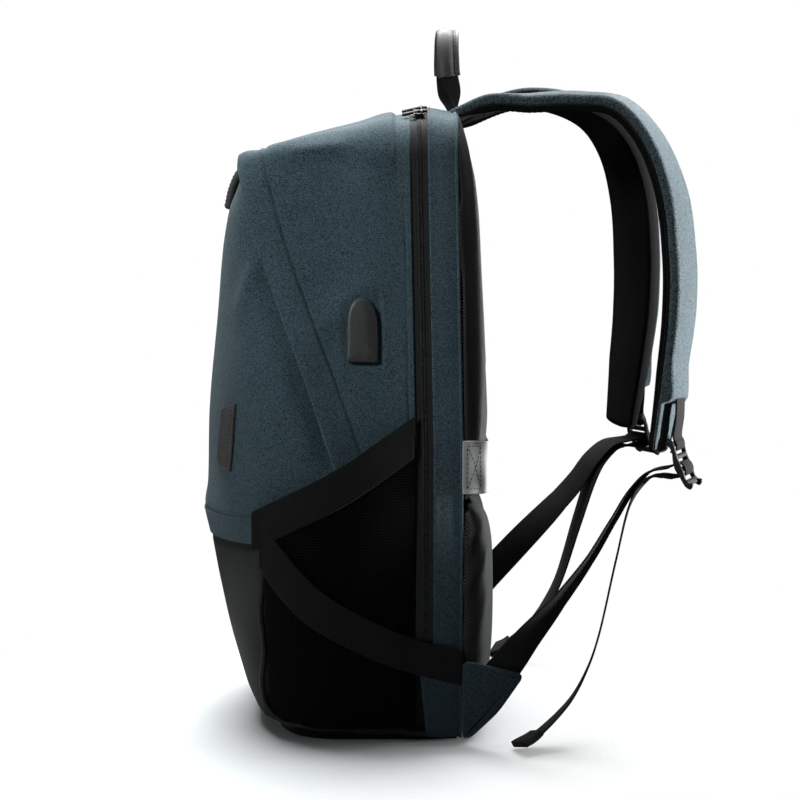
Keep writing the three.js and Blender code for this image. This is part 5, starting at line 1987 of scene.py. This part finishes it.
@dataclass
class Adjuster:
    """Lock, tape, webbing and anchor tab of one strap, drawn for the right side."""

    side: Side
    run: Sequence[Bend]
    tail: Sequence[Bend]
    corners: Sequence[tuple[float, float]]
    lock: LockPlace = LockPlace()
    width: float = 25.0
    thick: float = 1.6
    anchor_x: float = 140.9

    def build(self) -> None:
        """Makes the four pieces."""
        self.ladder()
        self.tape()
        self.webbing()
        self.anchor()

    def ladder(self) -> None:
        """Lock with curved side rails and four rounded bars."""
        k, word = self.lock, self.side.word
        draft = Draft()
        rail = [(-18.2, -0.9), (-15, 0.4), (-9, 0.7), (-3, -0.2), (3, -0.3), (9, 0.5), (14, 0.9), (17, 2), (19.2, 4.4)]
        for sign in (-1, 1):
            route = Route([Bend(*k.point(sign * 15.0, d, o), -k.yaw) for d, o in rail])
            sizes = [2.2 + 0.5 * math.cos(i / 45 * 4 * math.pi) for i in range(46)]
            rings = [s.place(rounded_box(1.6, -n, n, 1.1, 4)) for s, n in zip(route.stations(46), sizes)]
            draft.sweep(domed(np.array(rings), 1.4, 1.4))
        spans = np.linspace(-15.5, 15.5, 9)
        bars = [(-15, 0.2, 2.2, 1.9), (-5, 0, 2.0, 1.9), (5, 0, 2.0, 1.9), (16.2, 1.6, 2.6, 1.7)]
        for down, out, deep, tall in bars:
            outline = rounded_box(deep, -tall, tall, 1.5, 4)
            draft.sweep(np.array([[k.point(a, down + d, out + o) for d, o in outline] for a in spans]))
        make(draft.on(self.side), f"ladder_lock_{word}", PLASTIC, Slot.PLASTIC)

    def tape(self) -> None:
        """Tape from under the strap's cover over the first bar."""
        k, word = self.lock, self.side.word
        rows = [
            Bend(116.3, 226.5, 262, -k.yaw), Bend(116.6, 226.2, 248, -k.yaw),
            k.bend(k.bar(0) - 4, k.clear), k.bend(k.bar(0), k.clear + 0.4), k.bend(k.slot(0) - 1.2, k.clear - 0.6),
            k.bend(k.slot(0), 0), k.bend(k.slot(0), 0.4 - k.clear),
        ]
        draft = Draft().sweep(*strip(Route(rows), self.width, self.thick, 60))
        make(draft.on(self.side), f"lock_tape_{word}", STRAP_WEB, Slot.WEBBING)

    def webbing(self) -> None:
        """Webbing up from the anchor, over the third bar and down as a free tail with a folded end."""
        k, word = self.lock, self.side.word
        over = [
            k.bend(k.slot(1) + 0.4, -k.clear - 6), k.bend(k.slot(1), -k.clear), k.bend(k.slot(1), 0),
            k.bend(k.slot(1) + 1.2, k.clear - 0.6), k.bend(k.bar(2), k.clear + 0.4),
            k.bend(k.slot(2) - 1.2, k.clear - 0.6),
            k.bend(k.slot(2), 0), k.bend(k.slot(2) - 0.4, -k.clear), k.bend(k.slot(2) - 1.5, -k.clear - 6),
        ]
        route = Route([*self.run, *over, *self.tail])
        outline = rounded_box(self.width / 2 - 0.1, -3.4, 1.6, 1.4, 4)
        folded = np.array([s.place(outline) for s in route.stations(420)[-18:]])
        draft = Draft().sweep(*strip(route, self.width, self.thick, 420)).sweep(folded, outline[:, 0])
        make(draft.on(self.side), f"webbing_{word}", STRAP_WEB, Slot.WEBBING)

    def anchor(self) -> None:
        """Folded cloth tab sewn into the back seam."""
        word = self.side.word
        outline = soften(self.corners, 7.0, 7)
        rings = []
        for draw, up in ((1.2, 0.0), (0.3, 0.5), (0.0, 1.5), (0.3, 2.5), (1.2, 3.0), (4.0, 3.35)):
            rings.append([(self.anchor_x + up, max(y, 60.4), z) for y, z in inset(outline, draw)])
        draft = Draft().sweep(np.array(rings))
        draft.coords[-1] = np.array([p[1:] for p in draft.points[-1]])
        make(draft.on(self.side), f"anchor_tab_{word}", WOVEN, Slot.WOVEN)
        path = np.array([(self.anchor_x + 3.4, y, z) for y, z in inset(outline, 4.6) if y > 64])
        seam = Draft().stitches(path, np.tile([1.0, 0, 0], (len(path), 1)), Thread(2.6, 1.2, 0.55))
        make(seam.on(self.side), f"anchor_seams_{word}", TEAL_THREAD, Slot.WOVEN)


@dataclass
class Handle:
    """Haul handle: webbing with a sewn leather grip."""

    rows: Sequence[Bend]
    count: int = 150
    grip_near: float = 509.5
    grip_far: float = 522.0

    def build(self) -> None:
        """Makes the webbing and the grip."""
        route = Route(self.path())
        make(Draft().sweep(*strip(route, 14.0, 2.4, self.count)), "handle_webbing", STRAP_WEB, Slot.WEBBING)
        stations = []
        for s in route.stations(self.count):
            if s.at[2] > (self.grip_near if s.at[0] > 0 else self.grip_far):
                stations.append(s)
        draft = Draft().sweep(domed(np.array([s.place(self.section()) for s in stations]), 0.5, 0.5))
        make(draft, "handle_grip", HIDE, Slot.LEATHER)
        seams = Draft()
        for face in (-1, 1):
            row = np.array([s.spot(6.1, face * 2.05) for s in stations])
            seams.stitches(row, np.array([s.out * face for s in stations]), Thread(2.6, 1.2, 0.6))
        make(seams, "grip_seam", BLACK_THREAD, Slot.LEATHER)

    def path(self) -> list[Bend]:
        """Rows of the whole handle: up the right leg, over the top and down the left.

        Returns:
            The rows.
        """
        last = self.rows[-1]
        left = [Bend(-r.x, r.y, r.z, 180 - r.yaw) for r in reversed(self.rows)]
        return [*self.rows, Bend(0, last.y, last.z + 1.5, last.yaw), *left]

    def section(self) -> np.ndarray:
        """Outline of the grip: a rounded roll with a flat sewn edge.

        Returns:
            Its points, as distances across and out.
        """
        turn = np.linspace(0.35, 2 * math.pi - 0.35, 26)
        roll = np.stack([-1.6 + 7.2 * np.cos(turn), 3.9 * np.sin(turn)], axis=1)
        edge = np.array([(6.2, -2.0), (8.5, -1.9), (8.9, -1.2), (8.9, 1.2), (8.5, 1.9), (6.2, 2.0)])
        return np.concatenate([roll, edge])


@dataclass
class Trim:
    """Small fittings: port cover, side tab, front pull and zip sliders."""

    form: Form
    port_levels: tuple[tuple[float, float, float], ...] = (
        (0.2, 0.1, 0), (0.2, 1.6, 0), (0.0, 2.4, 0), (-0.1, 4.4, 0.8), (-0.2, 6.3, 5.2),
        (-0.6, 6.8, 5.6), (-1.5, 7.1, 6.0), (-4.0, 7.25, 5.4), (-8.0, 7.3, 3.0),
    )

    def build(self) -> None:
        """Makes every fitting."""
        self.port_cover()
        self.side_tab()
        self.front_pull()
        for number, x in ((1, 100.0), (2, 74.0)):
            self.slider(number, x)

    def port_outline(self) -> np.ndarray:
        """Bullet outline of the port cover.

        Returns:
            Its points, as Y and Z.
        """
        f, half = self.form, self.form.port_width / 2
        middle, low, high = f.port_y, f.port_low, f.port_high
        left, right = middle - half, middle + half
        spring, shoulder, crown = high - half * 2.1, high - half * 0.85, half * 0.62
        points = [(left + t * f.port_width, low) for t in np.linspace(0, 1, 10)]
        points += [(right, lerp(low, spring, t)) for t in np.linspace(0.1, 0.95, 10)]
        for corners in (
            [(right, spring), (right, shoulder), (middle + crown, high), (middle, high)],
            [(middle, high), (middle - crown, high), (left, shoulder), (left, spring)],
        ):
            a, b, c, d = (np.array(p) for p in corners)
            for t in np.linspace(0, 0.94, 14):
                points.append(tuple(a * (1 - t) ** 3 + 3 * b * t * (1 - t) ** 2 + 3 * c * t * t * (1 - t) + d * t**3))
        points += [(left, lerp(spring, low, t)) for t in np.linspace(0, 0.92, 10)]
        return np.array(points)

    def port_cover(self) -> None:
        """Rubber cover with a flange and a bevelled back side."""
        f = self.form
        outline = self.port_outline()
        surface = max(f.skin_x(f.port_y, z) for z in (f.port_low, f.port_high)) + f.lift
        middle = np.array([f.port_y, f.port_low + 20.0])
        rings = []
        for grow, up, shift in self.port_levels:
            half = outline - middle
            size = np.hypot(*half.T)[:, None]
            flat = middle + half * (size + grow) / size
            lean = np.clip((flat[:, :1] - f.port_y) / f.port_width + 0.5, 0, 1)
            rings.append([(surface + up, y, z) for y, z in flat - lean * np.array([[shift, 0.0]])])
        make(Draft().sweep(np.array(rings)), "usb_cover", RUBBER, Slot.RUBBER, 30.0)

    def tab_at(self, along: float, up: float, stand: float) -> np.ndarray:
        """Place on the side tab.

        Args:
            along: share of the way back along it.
            up: share of the way up it.
            stand: distance off the skin.

        Returns:
            The place.
        """
        low, high = 205 + 7 * (1 - along), 257 - 5 * (1 - along)
        y = lerp(-124.5, -113.5, along) + 5 * (up - 0.5)
        return self.form.side_point(y, lerp(low, high, up), stand)

    def side_tab(self) -> None:
        """Leather patch on the right side of the front pocket."""
        across, ups = np.linspace(0, 1, 15), np.linspace(0, 1, 31)
        outer = np.array([[self.tab_at(a, u, 2.4 + 0.5 * math.sin(math.pi * a)) for a in across] for u in ups])
        inner = np.array([[self.tab_at(a, u, 0.3) for a in across] for u in ups])
        make(Draft().cloth(outer, inner, 0.3), "side_tab", HIDE, Slot.LEATHER)
        seam = Draft().stitches(*trace(outer, [(r, 11.6) for r in range(1, 30)]), Thread(2.2, 1.4, 0.6))
        make(seam, "side_tab_seam", BLACK_THREAD, Slot.LEATHER)

    def front_pull(self) -> None:
        """Folded pull that hangs from under the visor."""
        route = Route([Bend(10, y, z) for y, z in ((-109.5, 445), (-117, 437), (-122.8, 424), (-126, 410))])
        rings, _ = strip(route, 16.0, 6.0, 40)
        make(Draft().sweep(domed(rings, 0, 1.8)), "front_pull", HIDE, Slot.LEATHER)
        seam = Draft()
        stations = route.stations(40)[6:]
        for sign in (-1, 1):
            row = np.array([s.spot(sign * 5.6, -3.05) for s in stations])
            seam.stitches(row, np.array([-s.out for s in stations]), Thread(2.2, 1.2, 0.55))
        make(seam, "front_pull_seam", BLACK_THREAD, Slot.LEATHER)

    def slider(self, number: int, x: float) -> None:
        """Zip slider with its bridge and pull, lying on the roof.

        Args:
            number: number of the slider.
            x: its place across the bag.
        """
        f = self.form
        y, lift = f.zip_y(f.lean_to) + f.zip_width / 2, f.lift - 1.6
        slope = math.atan((f.roof_height(x + 1, y, lift) - f.roof_height(x - 1, y, lift)) / 2)
        origin = np.array([x, y, f.roof_height(x, y, lift)])
        cos, sin = math.cos(slope), math.sin(slope)
        axes = np.array([(cos, 0, sin), (0, 1, 0), (-sin, 0, cos)])
        body = soften([(-5.5, -3.2), (-2.5, -4.5), (5.5, -4.5), (5.5, 4.5), (-2.5, 4.5), (-5.5, 3.2)], 2.0, 5)
        levels = [(0.5, 0.9), (0.0, 1.3), (0.0, 1.9), (1.1, 2.2), (1.1, 3.3), (0.0, 3.6), (0.0, 4.3), (0.7, 4.8)]
        rings = np.array([[(a, b, up) for a, b in inset(body, draw)] for draw, up in levels])
        turns = np.linspace(0, math.pi, 17)
        bridge = np.array([(5.0 * math.cos(t) - 0.3, 2.0, 4.4 + 2.4 * math.sin(t)) for t in turns])
        draft = Draft().sweep(origin + rings @ axes).tube(origin + bridge @ axes, 0.9, 8)
        make(draft, f"zip_slider_{number}", PLATE, Slot.METAL, 35.0)
        half = [(-2.6, 6.5), (-1.6, 2.0), (-3.0, -10.0), (-1.6, -13.0)]
        paddle = soften([*half, *((-a, b) for a, b in reversed(half))], 1.6, 5)
        levels = [(0.6, 5.0), (0.0, 5.5), (0.0, 6.7), (0.6, 7.2)]
        rings = [[(a, b, up + 0.22 * min(b - 2.0, 0.0)) for a, b in inset(paddle, draw)] for draw, up in levels]
        make(Draft().sweep(origin + np.array(rings) @ axes), f"zip_pull_{number}", PLATE, Slot.METAL, 35.0)


@dataclass(frozen=True)
class Lamp:
    """Soft studio lamp: place and aim in metres, size, power in watts and cone in degrees."""

    name: str
    at: tuple[float, float, float]
    aim: tuple[float, float, float]
    size: float
    power: float
    cone: float = 0.0

    def hang(self) -> None:
        """Adds the lamp to the scene: a soft disc, or a spot where it has a cone."""
        data = bpy.data.lights.new(self.name, "SPOT" if self.cone else "AREA")
        data.energy = self.power
        if self.cone:
            data.spot_size, data.spot_blend, data.shadow_soft_size = math.radians(self.cone), 0.9, self.size / 2
        else:
            data.shape, data.size = "DISK", self.size
        obj = bpy.data.objects.new(self.name, data)
        obj.location = self.at
        obj.rotation_euler = (Vector(self.aim) - Vector(self.at)).to_track_quat("-Z", "Y").to_euler()
        bpy.context.scene.collection.objects.link(obj)


@dataclass
class Studio:
    """Plain pale floor, soft light and the camera."""

    camera_at: tuple[float, float, float] = (1.4, 0.0135, 0.359)
    tilt: float = 4.388
    lens: float = 36.0 * 1694 / 800
    floor_radius: float = 0.42
    pool: tuple[float, float] = (0.08, -0.095)
    ambient: float = 0.078
    white: Colour = (1.0, 1.0, 1.0)
    floor_sides: int = 96
    lamps: tuple[Lamp, ...] = (
        Lamp("overhead", (-0.5, 0.0, 1.7), (0.0, 0.0, 0.3), 1.7, 116.0),
        Lamp("front_fill", (0.1, -1.6, 0.3), (0.03, -0.1, 0.18), 0.6, 50.0, cone=14.5),
        Lamp("side_key", (1.35, -0.98, 0.88), (0.13, -0.02, 0.38), 0.3, 104.0, cone=20.0),
        Lamp("back_rim", (-0.12, 1.7, 0.32), (0.08, 0.2, 0.405), 0.5, 1550.0, cone=15.0),
        Lamp("back_fill", (-0.03, 1.6, 0.2), (0.11, 0.12, 0.15), 0.3, 330.0, cone=11.0),
    )

    def build(self) -> None:
        """Sets up the whole studio."""
        self.backdrop()
        self.floor()
        for lamp in self.lamps:
            lamp.hang()
        data = bpy.data.cameras.new("camera")
        data.lens, data.sensor_width = self.lens, 36.0
        camera = bpy.data.objects.new("camera", data)
        camera.location = self.camera_at
        camera.rotation_euler = (math.radians(90 - self.tilt), 0.0, math.radians(90))
        bpy.context.scene.collection.objects.link(camera)
        bpy.context.scene.camera = camera
        bpy.context.scene.view_settings.view_transform = "Standard"

    def backdrop(self) -> None:
        """White surroundings, seen white by the camera and dimmer by the bag."""
        world = bpy.data.worlds.new("studio")
        recipe = Recipe(world, "Background")
        recipe.set(Color=self.white, Strength=self.ambient)
        dim = Wire(recipe, recipe.shader.outputs[0])
        seen = recipe.node("ShaderNodeBackground", inputs={"Color": self.white})
        camera = recipe.node("ShaderNodeLightPath", output="Is Camera Ray")
        both = recipe.node("ShaderNodeMixShader", inputs={0: camera, 1: dim, 2: seen})
        recipe.feed(recipe.tree.nodes["World Output"].inputs["Surface"], both)
        bpy.context.scene.world = world

    def floor(self) -> None:
        """Pale floor that fades into the backdrop."""
        sides = self.floor_sides
        turn = np.linspace(0, 2 * math.pi, sides, endpoint=False)
        around = np.stack([np.cos(turn), np.sin(turn), np.zeros(sides)], axis=1)
        radii = np.linspace(1, self.floor_radius / MM, 14)
        faces = [tuple(range(sides))]
        for r in range(len(radii) - 1):
            for s in range(sides):
                a, b = r * sides + s, r * sides + (s + 1) % sides
                faces.append((a, b, b + sides, a + sides))
        points = radii[:, None, None] * around
        draft = Draft().add(points, np.zeros((len(radii) * sides, 2)), faces)
        obj = bpy.data.objects.new("floor", draft.mesh("floor"))
        bpy.context.scene.collection.objects.link(obj)
        obj.location.z = -0.0004
        paper = bpy.data.materials.new("floor_paper")
        recipe = Recipe(paper)
        place = recipe.place()
        x, y = recipe.part(place, "X"), recipe.part(place, "Y")
        x, y = x - self.pool[0], y - self.pool[1]
        radius = (x * x + y * y) ** 0.5
        grain = recipe.noise(place, 300.0, 2.0)
        recipe.set(Base_Color=recipe.mix(grain, (0.69, 0.72, 0.73), (0.72, 0.75, 0.76)), Roughness=0.9)
        recipe.set(Alpha=1 - radius.step(0.13, self.floor_radius - 0.06), Specular_IOR_Level=0.1)
        obj.data.materials.append(paper)


STRAPS = {
    Side.RIGHT: (
        Bend(48, 57.5, 479, 0, 0, 56, 0.8), Bend(52, 84, 489.5, 0, 3, 58, 1), Bend(60, 118, 490, -4, 8, 61, 1),
        Bend(70, 153, 490, -9, 8, 62, 1), Bend(80, 181, 485, -15, 7, 62, 1), Bend(91, 203, 462, -19, 3, 62, 1),
        Bend(101, 219.5, 422, -22, 0, 62, 1), Bend(108, 226, 372, -23, 0, 62, 1), Bend(111, 226, 330, -23, 0, 60, 1),
        Bend(112.5, 220.5, 280, -23, 0, 55, 0.9), Bend(114, 212, 224, -23, 0, 44, 0.6),
    ),
    Side.LEFT: (
        Bend(-48, 57.5, 479.5, 0, 0, 56, 0.8), Bend(-52, 83, 493.5, 0, 0, 58, 1), Bend(-60, 116, 504, 4, 0, 61, 1),
        Bend(-70, 152, 502, 9, 0, 62, 1), Bend(-81, 185, 488, 15, 0, 62, 1), Bend(-90, 205, 463, 19, 0, 62, 1),
        Bend(-97, 217.5, 424, 22, 0, 62, 1), Bend(-102, 222.5, 372, 23, 0, 62, 1), Bend(-106, 222.5, 325, 23, 0, 60, 1),
        Bend(-110, 218, 276, 23, 0, 55, 0.9), Bend(-114, 212, 224, 23, 0, 44, 0.6),
    ),
}
RUNS = {
    Side.RIGHT: (
        Bend(139.5, 85, 50, -90, -38), Bend(139.3, 94, 61.5, -85, -38), Bend(138, 109, 80.5, -56, -31),
        Bend(134, 134.5, 110, -30, -18), Bend(127, 157.5, 139.5, -21, -12), Bend(119, 176.5, 169, -18, -9),
        Bend(113.5, 191, 191, -20, -4), Bend(111.5, 205, 205, -21, 0),
    ),
    Side.LEFT: (
        Bend(139.5, 75, 57, -90, -40), Bend(139.4, 83, 67, -90, -40), Bend(138, 98, 84.5, -80, -41),
        Bend(134, 123.5, 113, -58, -38), Bend(127, 158, 151, -29, -24), Bend(121, 173, 170, -27, -18),
        Bend(116, 186, 190, -25, -10), Bend(112.5, 201, 204, -23, -2),
    ),
}
TAILS = {
    Side.RIGHT: (
        Bend(112.4, 214, 202.2, -23, 0), Bend(112.2, 205.5, 200.9, -21, -2), Bend(113, 196, 192.3, -16, -4),
        Bend(114, 189, 179, -9, -7),
        Bend(119, 178.5, 138, -7, -10), Bend(127, 164, 78, -7, -12), Bend(133, 155, 55.5, -6, -12),
        Bend(142, 141, 34, -3, -10), Bend(153, 115.5, 11.5, 2, -7), Bend(160, 103, 5.5, 3, -5),
    ),
    Side.LEFT: (
        Bend(112.5, 212, 202.6, -23, 0), Bend(112.3, 203, 200, -21, -2), Bend(112.5, 193, 189.5, -18, -4),
        Bend(112.5, 186, 175, -14, -7),
        Bend(117, 173.5, 134, -10, -9), Bend(125, 157.5, 78, -4, -10), Bend(131, 147.5, 55.5, -2, -10),
        Bend(138, 134, 34, 0, -9), Bend(147, 112, 13, 2, -7), Bend(153, 101, 6.5, 3, -5),
    ),
}
ANCHORS = {
    Side.RIGHT: ((60.4, 66), (82, 61.5), (108, 55), (88, 26), (67, 6), (60.4, 6)),
    Side.LEFT: ((60.4, 82), (76, 83), (96.5, 66), (84, 34), (67, 6), (60.4, 6)),
}
HANDLE = (
    Bend(51, 57.6, 487), Bend(52, 56, 498, 42), Bend(53, 52.5, 509, 88),
    Bend(51, 51, 528, 90), Bend(42, 51, 542, 90), Bend(26, 51, 548, 90),
)


def main() -> None:
    """Builds the bag and the studio."""
    logging.basicConfig(level=logging.INFO, format="%(message)s")
    form = Form()
    Shell(form).build()
    BackPanel(form).build()
    for side in Side:
        SidePocket(form, side).build()
        ShoulderStrap(side, STRAPS[side]).build()
        Adjuster(side, RUNS[side], TAILS[side], ANCHORS[side]).build()
    Handle(HANDLE).build()
    Trim(form).build()
    Studio().build()
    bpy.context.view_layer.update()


if __name__ == "__main__":
    main()
